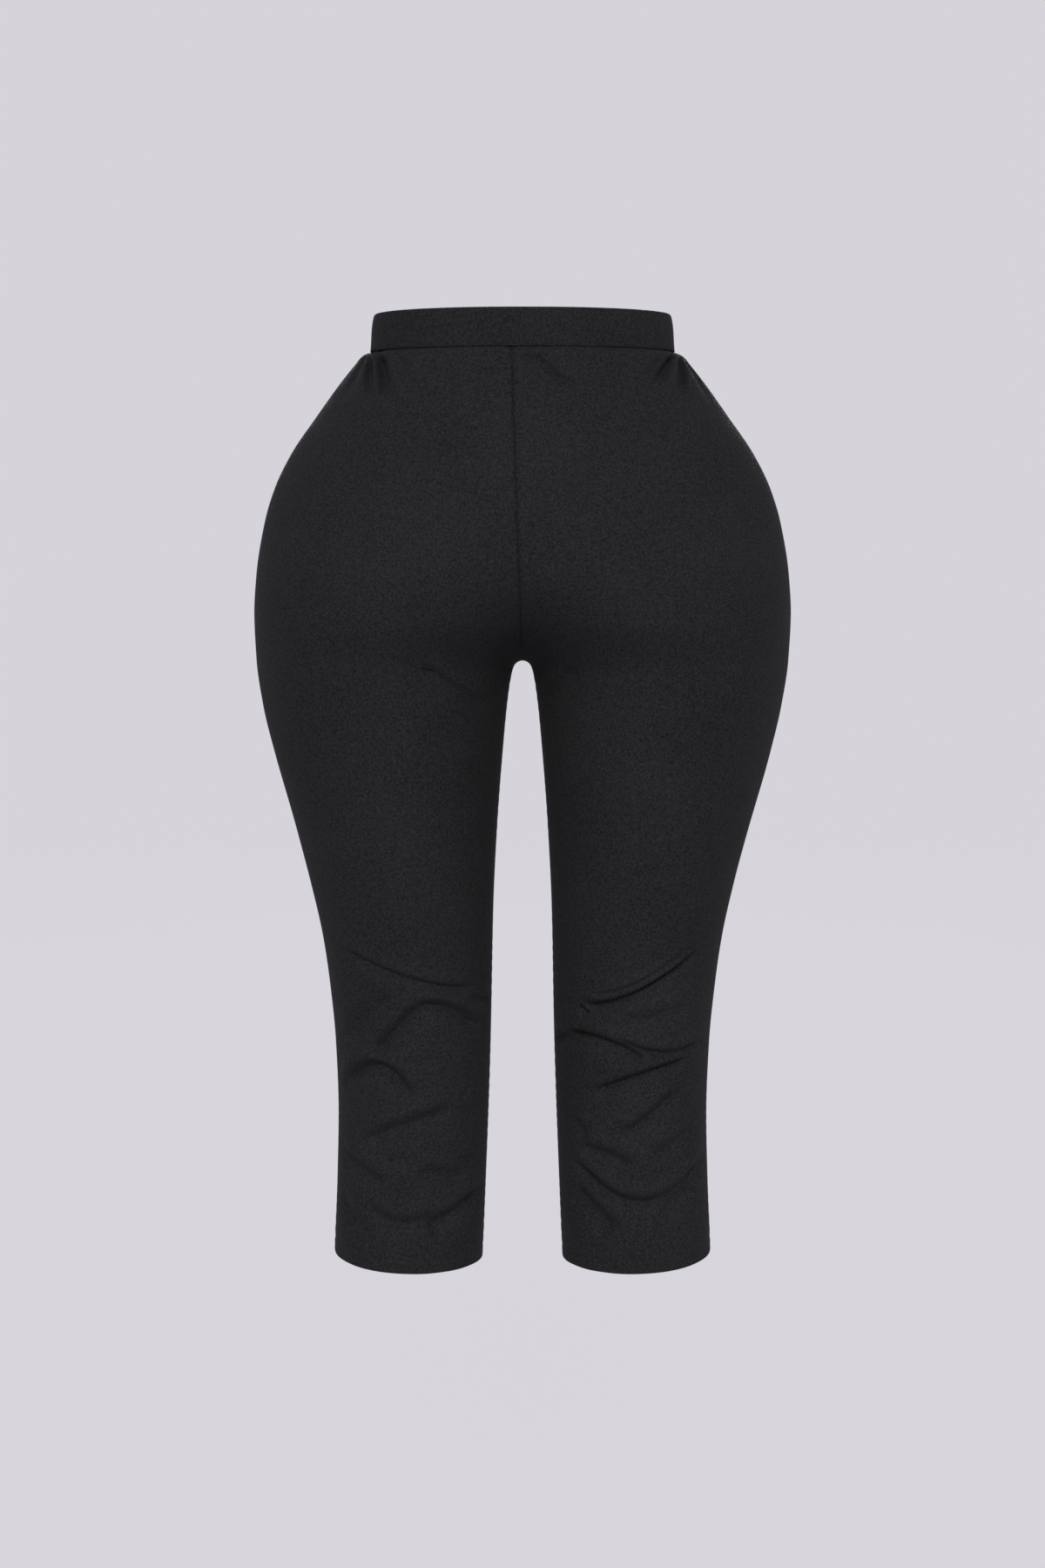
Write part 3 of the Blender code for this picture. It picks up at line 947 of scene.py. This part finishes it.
@dataclass(frozen=True)
class Plaster:
    """The finish of the pale studio floor, which mostly glows by itself.

    The light that falls on it adds `lit_share` of its colour, and it glows with the rest.
    """

    name: str = "pale_floor"
    colour: tuple[float, float, float] = PALE
    lit_share: float = 0.015
    sky: float = PALE[0]

    def material(self) -> bpy.types.Material:
        """Build the finish.

        Returns:
            The material.
        """
        made, shader = blank_material(self.name)
        lit = [value * self.lit_share for value in self.colour]
        shader.inputs["Base Color"].default_value = (*lit, 1)
        shader.inputs["Roughness"].default_value = 1.0
        shader.inputs["Specular IOR Level"].default_value = 0.0
        shader.inputs["Emission Color"].default_value = (*self.colour, 1)
        shader.inputs["Emission Strength"].default_value = 1 - self.lit_share * self.sky
        return made


def add_object(name: str, data: bpy.types.ID) -> bpy.types.Object:
    """Put an object into the scene.

    Args:
        name: Its name.
        data: Its mesh, light or camera.

    Returns:
        The object.
    """
    made = bpy.data.objects.new(name, data)
    bpy.context.scene.collection.objects.link(made)
    return made


def add_mesh(
    name: str, points: np.ndarray, faces: list[list[int]], finish: bpy.types.Material
) -> bpy.types.Object:
    """Make a smooth mesh piece that rides on the garment.

    Args:
        name: The piece's name.
        points: Its points, in millimetres.
        faces: Its faces, as the numbers of their points.
        finish: Its material.

    Returns:
        The piece.
    """
    mesh = bpy.data.meshes.new(name)
    mesh.from_pydata((points * MM).tolist(), [], faces)
    mesh.validate()
    mesh.shade_smooth()
    mesh.set_sharp_from_angle(angle=SHARP_ANGLE)
    mesh.materials.append(finish)
    piece = add_object(name, mesh)
    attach(piece, BODY)
    return piece


def kept_lines(count: int, step: int) -> np.ndarray:
    """Every step-th of a grid's lines, with the last one."""
    return np.append(np.arange(0, count - 1, step), count - 1)


def grid_faces(number: np.ndarray) -> list[list[int]]:
    """List the faces of a grid of points.

    Args:
        number: The number of each point, in rows and columns.

    Returns:
        Its faces, as the numbers of their points.
    """
    corners = [number[:-1, :-1], number[1:, :-1], number[1:, 1:], number[:-1, 1:]]
    return np.stack([c.ravel() for c in corners], axis=1).tolist()


def shell_faces(rows: int, columns: int, step: int, flipped: bool) -> list[list[int]]:
    """Number the faces of a closed shell between an outer grid and a coarser inner one.

    Args:
        rows: The outer grid's rows.
        columns: The outer grid's columns.
        step: How many lines of the outer grid lie between two of the inner one.
        flipped: Whether the faces turn the other way round.

    Returns:
        The faces of the outer grid, the inner grid, and the rim between them.
    """
    down, over = kept_lines(rows, step), kept_lines(columns, step)
    outer = np.arange(rows * columns).reshape(rows, columns)
    inner = np.arange(len(down) * len(over)).reshape(len(down), len(over)) + rows * columns
    faces = grid_faces(outer) + [face[::-1] for face in grid_faces(inner)]
    for line, lining, kept in (
        (outer[0], inner[0], over),
        (outer[:, -1], inner[:, -1], down),
        (outer[-1, ::-1], inner[-1, ::-1], columns - 1 - over[::-1]),
        (outer[::-1, 0], inner[::-1, 0], rows - 1 - down[::-1]),
    ):
        for i in range(len(kept) - 1):
            edge = line[kept[i] : kept[i + 1] + 1].tolist()
            faces.append(edge + [int(lining[i + 1]), int(lining[i])])
    return [face[::-1] for face in faces] if flipped else faces


def add_shell(
    name: str,
    outer: np.ndarray,
    inner: np.ndarray,
    step: int,
    flipped: bool,
    finish: bpy.types.Material,
) -> bpy.types.Object:
    """Make the closed shell of cloth that stands for a solid.

    Args:
        name: The solid's name.
        outer: The outer points, as a grid of rows and columns.
        inner: The inner point behind each of them.
        step: How many lines of the outer grid lie between two that the inside keeps.
        flipped: Whether the faces turn the other way round.
        finish: The cloth's material.

    Returns:
        The shell.
    """
    rows, columns, _ = outer.shape
    kept = inner[np.ix_(kept_lines(rows, step), kept_lines(columns, step))]
    points = np.concatenate([outer.reshape(-1, 3), kept.reshape(-1, 3)])
    faces = shell_faces(rows, columns, step, flipped)
    piece = add_mesh(f"{name}_cloth", points, faces, finish)
    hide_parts(name)
    LOG.info("%s: %d faces", piece.name, len(faces))
    return piece


@dataclass(frozen=True)
class Hem:
    """The hem of a leg: turned up inside, stitched round and folded at its lower edge."""

    height: float = -762.9
    depth: float = 16.0
    slant: float = 6.5
    edge_radius: float = 1.2
    edge_degrees: tuple[float, ...] = (25, 48, 68, 84)
    turned_up: float = 1.3
    turned_step: float = 1.0
    calm_reach: float = 22.0
    calm_relief: float = 0.15
    scallop: float = 0.16
    scallop_pitch: float = 6.1
    scallop_drift: tuple[float, float] = (1.2, 23.0)
    scallop_fade: tuple[float, float] = (3.0, 8.0)
    stitch_height: float = 11.5
    stitch_press: float = 0.32
    stitch_width: float = 0.9

    def edge_heights(self) -> np.ndarray:
        """The heights of the rows round its folded edge."""
        turns = np.radians(self.edge_degrees)
        return self.height + self.edge_radius * (1 - np.sin(turns))

    def calm(self, net: Net) -> np.ndarray:
        """The share of the folds' height that is left near the hem."""
        full = smoothstep(net.above_hem / self.calm_reach)
        return full * (1 - self.calm_relief) + self.calm_relief

    def extra(self, net: Net) -> np.ndarray:
        """How much thicker the cloth is where it is turned up inside."""
        return smoothstep((self.depth - net.above_hem) / self.turned_step) * self.turned_up

    def inset(self, net: Net) -> np.ndarray:
        """Press the cloth in along the stitches and round its folded edge.

        Args:
            net: The panel's points.

        Returns:
            How far each point moves in.
        """
        above, along = net.above_hem, net.to_side
        line = self.stitch_press * bell((above - self.stitch_height) / self.stitch_width)
        start, fade = self.scallop_fade
        low = smoothstep((self.depth + start - above) / fade)
        sway, drift = self.scallop_drift
        scallop = np.sin(along / self.scallop_pitch + sway * np.sin(along / drift))
        down = np.clip(1 - above / self.edge_radius, 0, 1)
        rounding = self.edge_radius * (1 - np.sqrt(1 - down**2))
        return line + self.scallop * low * scallop + rounding


@dataclass(frozen=True)
class Seam:
    """The seams round a panel: rolled edges, a slight pucker and allowances inside."""

    roll: float = 1.15
    width: float = 0.60
    hollow: float = 0.22
    hollow_width: float = 3.2
    pucker: float = 0.20
    pucker_width: float = 5.5
    pucker_pitch: float = 1.45
    pucker_drift: tuple[float, float] = (1.3, 11.0)
    pucker_swell: tuple[float, float] = (37.0, 0.8)
    allowance: float = 9.0
    allowance_rise: float = 0.8
    allowance_step: float = 1.2
    band_lap: tuple[float, float] = (0.5, 1.0)

    def extra(self, net: Net) -> np.ndarray:
        """Tell how much thicker the cloth is over its seam allowances.

        Args:
            net: The panel's points.

        Returns:
            What the allowances add at each point.
        """
        clear, lap = self.band_lap
        to_band = np.where(net.drop > clear, net.drop + lap, self.allowance)
        to_seam = np.minimum(net.to_edge, to_band)
        return smoothstep((self.allowance - to_seam) / self.allowance_step) * self.allowance_rise

    def inset(self, net: Net) -> np.ndarray:
        """Roll the cloth in at its seams, with a slight pucker between stitches.

        Args:
            net: The panel's points.

        Returns:
            How far each point moves in.
        """
        side, inner = net.to_side, net.to_inner
        roll = np.exp(-side / self.width) + np.exp(-inner / self.width)
        hollow = np.exp(-side / self.hollow_width) + np.exp(-inner / self.hollow_width)
        sway, drift = self.pucker_drift
        beat = np.sin(net.drop / self.pucker_pitch + sway * np.sin(net.drop / drift))
        swell, turn = self.pucker_swell
        beat = beat * np.sin(net.drop / swell + turn)
        beside = bell(net.to_edge / self.pucker_width)
        return self.roll * roll + self.hollow * hollow + self.pucker * beat * beside


@dataclass
class Panel:
    """A leg panel: its cloth shell with folds, gathers, seams and hem."""

    leg: Leg
    face: Face
    form: Form
    drape: Drape
    cut: Cut
    hem: Hem = Hem()
    seam: Seam = Seam()
    cloth: float = 1.3
    columns: int = 170
    near_columns: tuple[float, ...] = (0, 0.0016, 0.0038, 0.0068, 0.0108, 0.0160)
    even_start: float = 0.0225
    inner_step: int = 3
    gather_zone: float = 40.0
    gather_straight: float = 0.8
    gather_pull: float = 0.8
    gather_rows: int = 36
    gather_first: float = 0.5
    body_rows: int = 104
    body_first: float = 1.2
    thigh_rows: int = 80
    thigh_first: float = 1.0
    shin_rows: int = 250
    hem_rows: int = 22
    seam_parts: int = 4000
    side_at_fork: float = -300.0
    knee_height: float = -500.0
    notch: float = 0.14
    notch_start: tuple[float, float] = (1.0, 4.0)
    notch_end: tuple[float, float] = (4.0, 20.0)
    fork_ease: float = 14.0
    band_tuck: float = 0.75
    band_tuck_reach: float = 1.6
    side_tuck: float = 0.35
    flush_reach: float = 26.0
    tongue: float = 4.5
    tongue_end: float = 0.9
    tongue_rows: int = 5
    tongue_lean: float = 0.3
    tongue_run: float = 3.0

    @property
    def name(self) -> str:
        """The name of the panel and of the solid that it stands for."""
        return f"{self.face.name}_{self.leg.name}".lower()

    def inner_heights(self) -> tuple[np.ndarray, np.ndarray]:
        """Space the rows evenly by cloth length along the centre seam and inseam.

        Returns:
            The heights of the rows above the fork, and of those from it to the knee.
        """
        form = self.form
        top = form.band_bottom - self.gather_zone
        down = np.linspace(top, self.knee_height, self.seam_parts)
        points, _ = form.surface(down, form.inner_edge(down), self.face)
        run = lengths_along(points)
        fork = np.interp(-form.fork_height, -down, run)
        body = fork - graded(fork, self.body_rows, self.body_first)[::-1]
        thigh = fork + graded(run[-1] - fork, self.thigh_rows, self.thigh_first)
        return np.interp(body, run, down), np.interp(thigh, run, down)

    def row_heights(self) -> tuple[np.ndarray, np.ndarray]:
        """Set the heights of the panel's rows.

        Returns:
            Their heights at the side seam and at the centre seam or inseam.
        """
        top = self.form.band_bottom
        zone = top - self.gather_zone
        tongue = np.linspace(top + self.tongue, top + self.tongue_end, self.tongue_rows)
        below = top - graded(top - zone, self.gather_rows, self.gather_first)
        gathers = np.concatenate([tongue, below])
        body, thigh = self.inner_heights()
        hem_top = self.hem.height + self.hem.depth
        shin = np.linspace(self.knee_height, hem_top, self.shin_rows + 1)[1:]
        hem_end = self.hem.height + self.hem.edge_radius
        hem = np.linspace(hem_top, hem_end, self.hem_rows + 1)[1:]
        leg = np.concatenate([shin, hem, self.hem.edge_heights()])
        slant = self.hem.slant / 2 * (self.knee_height - leg)
        slant = slant / (self.knee_height - self.hem.height)
        side_body = np.linspace(zone, self.side_at_fork, self.body_rows + 1)
        side_thigh = np.linspace(self.side_at_fork, self.knee_height, self.thigh_rows + 1)
        inner = np.concatenate([gathers, body[1:], thigh[1:], leg - slant])
        side = np.concatenate([gathers, side_body[1:], side_thigh[1:], leg + slant])
        return side, inner

    def column_places(self) -> np.ndarray:
        """Place the columns, close together at both seams.

        Returns:
            Their places, from 0 at the side seam to 1 at the centre seam or inseam.
        """
        near = np.array(self.near_columns)
        start = self.even_start
        even = np.linspace(start, 1 - start, self.columns - 2 * len(near))
        return np.concatenate([near, even, 1 - near[::-1]])

    def inset(self, net: Net) -> np.ndarray:
        """Sink the panel's edges into its seams, the waistband and the hem.

        Args:
            net: The panel's points.

        Returns:
            How far each point moves in.
        """
        tuck = self.band_tuck * np.exp(-np.maximum(net.drop, 0) / self.band_tuck_reach)
        middle = smoothstep(net.to_side / self.flush_reach)
        tuck = tuck * (self.side_tuck + (1 - self.side_tuck) * middle)
        tuck = tuck - self.tongue_lean * smoothstep(-net.drop / self.tongue_run)
        below_fork = net.drop - (self.form.band_bottom - self.form.fork_height)
        ease = 1 - bell(below_fork / self.fork_ease) * (net.to_inner < net.to_side)
        return ease * self.seam.inset(net) + tuck + self.hem.inset(net)

    def lay(self) -> tuple[np.ndarray, np.ndarray, np.ndarray]:
        """Lay the panel's cloth on the form.

        Returns:
            The outer points, the directions out of the cloth, and the inner points, each
            as a grid of rows and columns.
        """
        sides, inners = self.row_heights()
        places = self.column_places()
        height = sides[:, None] + (inners - sides)[:, None] * places
        rows = np.arange(len(sides))[:, None] - self.tongue_rows
        pull = 1 + self.gather_pull * np.clip(1 - rows / self.gather_rows, 0, 1)
        angle = self.form.inner_edge(height) * places**pull
        turn = np.full(height.shape, self.leg.value)
        if self.face is Face.BACK:
            angle, past = self.form.lean(height, angle, self.leg)
            turn = turn * past
        points, out = self.form.surface(height, angle, self.face)
        points[..., 0] *= turn
        out[..., 0] *= turn
        along = lengths_along(points)
        net = Net(
            height=height,
            girth=self.form.girth(height, angle, self.face),
            to_side=along,
            to_inner=along[:, -1:] - along,
            drop=self.form.band_bottom - height,
            above_hem=height - (sides[-1] + (inners[-1] - sides[-1]) * places),
        )
        relief = self.drape.relief(self.leg, self.face, net) * self.hem.calm(net)
        press = self.drape.gathered(self.leg, self.face, net)
        straight = np.array([0, self.face.value, 0]) * self.gather_straight
        way = straight + out * (1 - self.gather_straight)
        lift = relief - self.inset(net)
        outer = points + way * press[..., None] + out * lift[..., None]
        outer[:, -1] += self.seam_notch(outer, net.drop[:, -1])
        extra = np.maximum(self.seam.extra(net), self.hem.extra(net))
        deep = self.lowest_near(relief) - (self.cloth + extra)
        inner = points + way * self.lowest_near(press)[..., None] + out * deep[..., None]
        return outer, out, inner

    def seam_notch(self, outer: np.ndarray, drop: np.ndarray) -> np.ndarray:
        """Part the outer edges of the centre seam by a hair between waistband and fork.

        Args:
            outer: The outer points of the cloth.
            drop: How far the points of the seam are below the waistband.

        Returns:
            How far the edge's points move away from the seam.
        """
        depth = self.form.band_bottom - self.form.fork_height
        start, widening = self.notch_start
        end, closing = self.notch_end
        wide = self.notch / 2 * smoothstep((drop - start) / widening)
        wide = wide * smoothstep((depth - end - drop) / closing)
        back = outer[:, -2] - outer[:, -1]
        return back * (wide / np.linalg.norm(back, axis=1))[:, None]

    def lowest_near(self, relief: np.ndarray) -> np.ndarray:
        """Find the deepest cloth around each point, which its coarser inside clears.

        Args:
            relief: How far the cloth moves out at each point.

        Returns:
            The least of it within one step of the inside's grid.
        """
        reach = self.inner_step
        wide = np.pad(relief, reach, mode="edge")
        size = (2 * reach + 1, 2 * reach + 1)
        return np.lib.stride_tricks.sliding_window_view(wide, size).min(axis=(2, 3))

    def build(
        self, outer: np.ndarray, inner: np.ndarray, finish: bpy.types.Material
    ) -> bpy.types.Object:
        """Make the panel from its cloth as it was laid.

        Args:
            outer: The outer points.
            inner: The inner points.
            finish: The cloth's material.

        Returns:
            The panel.
        """
        flipped = self.leg.value * self.face.value > 0
        return add_shell(self.name, outer, inner, self.inner_step, flipped, finish)

    def declare(self) -> None:
        """Work out the name of the waistband that is sewn to the panel, without keeping it.
        """
        band_name(self.face)


@dataclass
class Waistband:
    """Half of the folded waistband, from side seam to side seam."""

    face: Face
    form: Form
    cut: Cut
    columns: int = 170
    near_columns: tuple[float, ...] = (0, 0.002, 0.0045, 0.0085, 0.014)
    even_start: float = 0.021
    wall_rows: int = 16
    top: float = 15.0
    proud: float = 0.5
    side_proud: float = 0.1
    thickness: float = 2.7
    outer_layer: float = 1.2
    layer_height: float = 5.6
    edge_radius: float = 1.3
    edge_degrees: tuple[float, ...] = (86, 70, 52, 34, 17)
    clear: float = 0.05
    curl_height: float = 0.8
    curl: tuple[tuple[float, float], ...] = ((0.3, 0.22), (0.0, 0.55))
    corner_dip: float = 1.3
    corner_reach: float = 13.0
    flush_reach: float = 26.0
    swell: float = 1.2
    seam_roll: float = 0.7
    seam_width: float = 1.3
    ripple: float = 0.22
    ripple_reach: float = 20.0
    ripple_over: tuple[float, float] = (16.0, 0.6)
    ripple_down: tuple[float, float, float] = (9.0, 31.0, 1.1)

    @property
    def name(self) -> str:
        """The name of the band and of the solid that it stands for."""
        return band_name(self.face)

    def profile(self) -> list[tuple[float, float]]:
        """Set out the band's section, from its rounded top edge down.

        Returns:
            The height and the inset of each row.
        """
        radius = self.edge_radius
        shoulder = self.top - radius
        rows = []
        for turn in np.radians(self.edge_degrees):
            rows.append((shoulder + radius * math.sin(turn), radius * (1 - math.cos(turn))))
        bottom = self.form.band_bottom + self.clear
        for height in np.linspace(shoulder, bottom + self.curl_height, self.wall_rows):
            rows.append((float(height), 0.0))
        return rows + [(bottom + height, inset) for height, inset in self.curl]

    def share(self, height: float) -> float:
        """How far up the band a height is, from 0 at its bottom to 1 at its top."""
        bottom = self.form.band_bottom
        return np.clip((height - bottom) / (self.top - bottom), 0, 1)

    def lifts(
        self, height: float, inset: float, along: np.ndarray
    ) -> tuple[np.ndarray, np.ndarray]:
        """Tell how far one row of the band's cloth stands off the form.

        Args:
            height: The row's height.
            inset: How far its outside lies back.
            along: The cloth from the side seam to each of its points.

        Returns:
            The lifts of the points outside, and of those inside.
        """
        roll = self.seam_roll * np.exp(-along / self.seam_width)
        over, over_turn = self.ripple_over
        down, slant, down_turn = self.ripple_down
        wave = np.sin(along / over + over_turn)
        wave = wave * np.sin(height / down + along / slant + down_turn)
        flush = smoothstep(along / self.flush_reach)
        proud = self.proud * (self.side_proud + (1 - self.side_proud) * flush)
        proud = proud + self.swell * (1 - (2 * self.share(height) - 1) ** 2)
        ripple = self.ripple * wave * smoothstep(along / self.ripple_reach)
        above = height - self.form.band_bottom - self.layer_height
        layers = self.outer_layer + (self.thickness - self.outer_layer) * smoothstep(above)
        return proud - inset - roll + ripple, proud - layers + inset * (above > 0)

    def build(self, finish: bpy.types.Material) -> bpy.types.Object:
        """Make the band.

        Args:
            finish: The cloth's material.

        Returns:
            The band.
        """
        near = np.array(self.near_columns)
        even = np.linspace(self.even_start, 0.5, self.columns // 2 - len(near))
        half = np.concatenate([near, even])
        outer, inner = [], []
        for height, inset in self.profile():
            level = np.full(half.shape, height)
            points, out = self.form.surface(level, math.pi * half, self.face)
            points[-1, 0] = 0
            out[:, 2] = 0
            out /= np.linalg.norm(out, axis=1, keepdims=True)
            along = lengths_along(points)
            dip = self.corner_dip * self.share(height) ** 3
            points[:, 2] -= dip * bell(along / self.corner_reach)
            lift, deep = self.lifts(height, inset, along)
            outer.append(self.across(points + out * lift[:, None]))
            inner.append(self.across(points + out * deep[:, None]))
        flipped = self.face is Face.FRONT
        piece = add_shell(self.name, np.array(outer), np.array(inner), 1, flipped, finish)
        return piece

    def across(self, points: np.ndarray) -> np.ndarray:
        """A row of points up to the centre plane, followed by the same ones beyond it."""
        return np.concatenate([points, points[-2::-1] * np.array([-1, 1, 1])])


@dataclass
class Stitching:
    """Rows of stitches, each a grain of thread that is thickest in its middle."""

    finish: bpy.types.Material
    thread: float = 0.34
    sag: float = 0.16
    ahead: float = 0.3
    sides: int = 6
    stations: tuple[tuple[float, float], ...] = (
        (-0.5, 0.35),
        (-0.34, 0.85),
        (0.0, 1.0),
        (0.34, 0.85),
        (0.5, 0.35),
    )

    def grain(
        self, middle: np.ndarray, way: np.ndarray, out: np.ndarray, length: float
    ) -> np.ndarray:
        """Shape one stitch.

        Args:
            middle: Its middle.
            way: The direction that it runs in.
            out: The direction out of the cloth.
            length: Its length.

        Returns:
            Its points, ring by ring.
        """
        beside = np.cross(way, out)
        turns = np.arange(self.sides) * 2 * math.pi / self.sides
        rings = []
        for along, thick in self.stations:
            sunk = self.sag * (2 * along) ** 2
            centre = middle + way * along * length - out * sunk
            ring = np.cos(turns)[:, None] * beside + np.sin(turns)[:, None] * out
            rings.append(centre + ring * self.thread / 2 * thick)
        return np.concatenate(rings)

    def row(
        self,
        name: str,
        points: np.ndarray,
        outs: np.ndarray,
        pitch: float,
        length: float,
        crosswise: bool = False,
    ) -> bpy.types.Object:
        """Sew a row of stitches along a line of the cloth.

        Args:
            name: The row's name.
            points: The line's points.
            outs: The direction out of the cloth at each of them.
            pitch: The distance from one stitch to the next.
            length: The length of a stitch.
            crosswise: Whether the stitches lie across the line, as on a seam.

        Returns:
            The row.
        """
        run = lengths_along(points)
        count = int(run[-1] / pitch)
        marks = (np.arange(count) + 0.5) * run[-1] / count
        here, ahead, out = (
            np.stack([np.interp(at, run, v[:, k]) for k in range(3)], axis=1)
            for at, v in ((marks, points), (marks + self.ahead, points), (marks, outs))
        )
        corners, faces = [], []
        for i in range(count):
            facing = out[i] / np.linalg.norm(out[i])
            way = ahead[i] - here[i]
            way = way / np.linalg.norm(way)
            if crosswise:
                way = np.cross(way, facing)
            first = len(corners) * self.sides * len(self.stations)
            corners.append(self.grain(here[i], way, facing, length))
            faces += self.grain_faces(first)
        piece = add_mesh(name, np.concatenate(corners), faces, self.finish)
        LOG.info("%s: %d stitches", name, count)
        return piece

    def grain_faces(self, first: int) -> list[list[int]]:
        """Number the faces of one stitch.

        Args:
            first: The number of its first point.

        Returns:
            Its faces.
        """
        faces = []
        for ring in range(len(self.stations) - 1):
            for i in range(self.sides):
                a = first + ring * self.sides + i
                b = first + ring * self.sides + (i + 1) % self.sides
                faces.append([a, b, b + self.sides, a + self.sides])
        last = first + (len(self.stations) - 1) * self.sides
        faces.append(list(range(first + self.sides - 1, first - 1, -1)))
        faces.append(list(range(last, last + self.sides)))
        return faces


@dataclass
class Capris:
    """The whole garment: four leg panels, two halves of the waistband, and its sewing."""

    form: Form = field(default_factory=Form)
    back_cut: Cut = Cut(347, 780, 0.197)
    front_cut: Cut = Cut(334, 780, 0.188)
    band_cut: Cut = Cut(320, 35, 0.0106)
    hem_pitch: float = 3.1
    hem_stitch: float = 2.3
    seam_pitch: float = 3.0
    seam_stitch: float = 0.9
    seam_stop: float = 4.0
    seam_sink: float = 0.15

    def build(self) -> None:
        """Make every piece of the garment."""
        crepe = Crepe().material()
        sewing = Stitching(Thread().material())
        for face in Face:
            Waistband(face, self.form, self.band_cut).build(crepe)
            for leg in Leg:
                self.build_panel(leg, face, crepe, sewing)

    def build_panel(
        self, leg: Leg, face: Face, crepe: bpy.types.Material, sewing: Stitching
    ) -> None:
        """Make a leg panel with its stitching.

        Args:
            leg: The panel's leg.
            face: The panel's face.
            crepe: The cloth's material.
            sewing: The maker of its stitches.
        """
        cut = self.back_cut if face is Face.BACK else self.front_cut
        panel = Panel(leg, face, self.form, Drape(self.form), cut)
        outer, out, inner = panel.lay()
        cloth = panel.build(outer, inner, crepe)
        row = int(np.argmin(abs(outer[:, 0, 2] - outer[-1, 0, 2] - panel.hem.stitch_height)))
        name = f"{panel.name}_hem_stitches"
        sewn = [sewing.row(name, outer[row], out[row], self.hem_pitch, self.hem_stitch)]
        if (leg, face) == RB:
            above = outer[:, -1, 2] > self.form.fork_height + self.seam_stop
            away = out[above, -1]
            seam = outer[above, -1] - away * self.seam_sink
            name = "centre_back_stitches"
            sewn.append(sewing.row(name, seam, away, self.seam_pitch, self.seam_stitch, True))
        panel.declare()


@dataclass
class Studio:
    """The pale floor, the soft lights and the camera, with sizes in metres."""

    floor_height: float = -1.12
    floor_size: float = 80.0
    backdrop: tuple[float, float, float] = PALE
    camera_place: tuple[float, float, float] = (0.0, -1.8858, -0.1343)
    camera_pitch: float = math.radians(-7)
    lens: float = 52.78
    key_away: float = 5.0
    key_height: float = 2.3
    key_aim: float = -2.2
    key_size: tuple[float, float] = (2.7, 1.7)
    key_power: float = 71.0
    key_spread: float = math.radians(74)

    def build(self) -> None:
        """Set up the whole studio."""
        self.lay_floor()
        self.light_room()
        self.set_camera()
        bpy.context.scene.view_settings.view_transform = "Standard"
        LOG.info("studio: floor, lights and camera")

    def lay_floor(self) -> None:
        """Lay the pale floor, far below the hems."""
        half = self.floor_size / 2
        mesh = bpy.data.meshes.new("floor")
        corners = [(-half, -half), (half, -half), (half, half), (-half, half)]
        mesh.from_pydata([(x, y, self.floor_height) for x, y in corners], [], [(0, 1, 2, 3)])
        mesh.materials.append(Plaster().material())
        add_object("floor", mesh)

    def light_room(self) -> None:
        """Fill the room with soft light, and hang a key before each face of the garment."""
        world = bpy.data.worlds.new("studio")
        bpy.context.scene.world = world
        world.use_nodes = True
        sky = world.node_tree.nodes["Background"]
        sky.inputs["Color"].default_value = (*self.backdrop, 1)
        sky.inputs["Strength"].default_value = 1.0
        self.hang_key("key", Face.BACK)
        self.hang_key("front_key", Face.FRONT)

    def hang_key(self, name: str, face: Face) -> None:
        """Hang one soft key, aimed at a point below the garment.

        Args:
            name: Its name.
            face: The garment's face that it lights.
        """
        data = bpy.data.lights.new(name, "AREA")
        data.shape = "RECTANGLE"
        data.size, data.size_y = self.key_size
        data.energy = self.key_power
        data.spread = self.key_spread
        light = add_object(name, data)
        light.location = (0, face.value * self.key_away, self.key_height)
        turn = 0 if face is Face.BACK else -math.pi
        tilt = math.atan2(self.key_aim - self.key_height, self.key_away)
        light.rotation_euler = (math.pi / 2 + tilt, 0, turn)
        light.visible_camera = False

    def set_camera(self) -> None:
        """Set the camera before the garment's back, a little above its middle."""
        data = bpy.data.cameras.new("camera")
        data.lens = self.lens
        camera = add_object("camera", data)
        camera.location = self.camera_place
        camera.rotation_euler = (math.pi / 2 + self.camera_pitch, 0, 0)
        bpy.context.scene.camera = camera


def main() -> None:
    """Build the garment and the studio, and report each piece."""
    logging.basicConfig(level=logging.INFO, format="%(message)s")
    Capris().build()
    Studio().build()


if __name__ == "__main__":
    main()
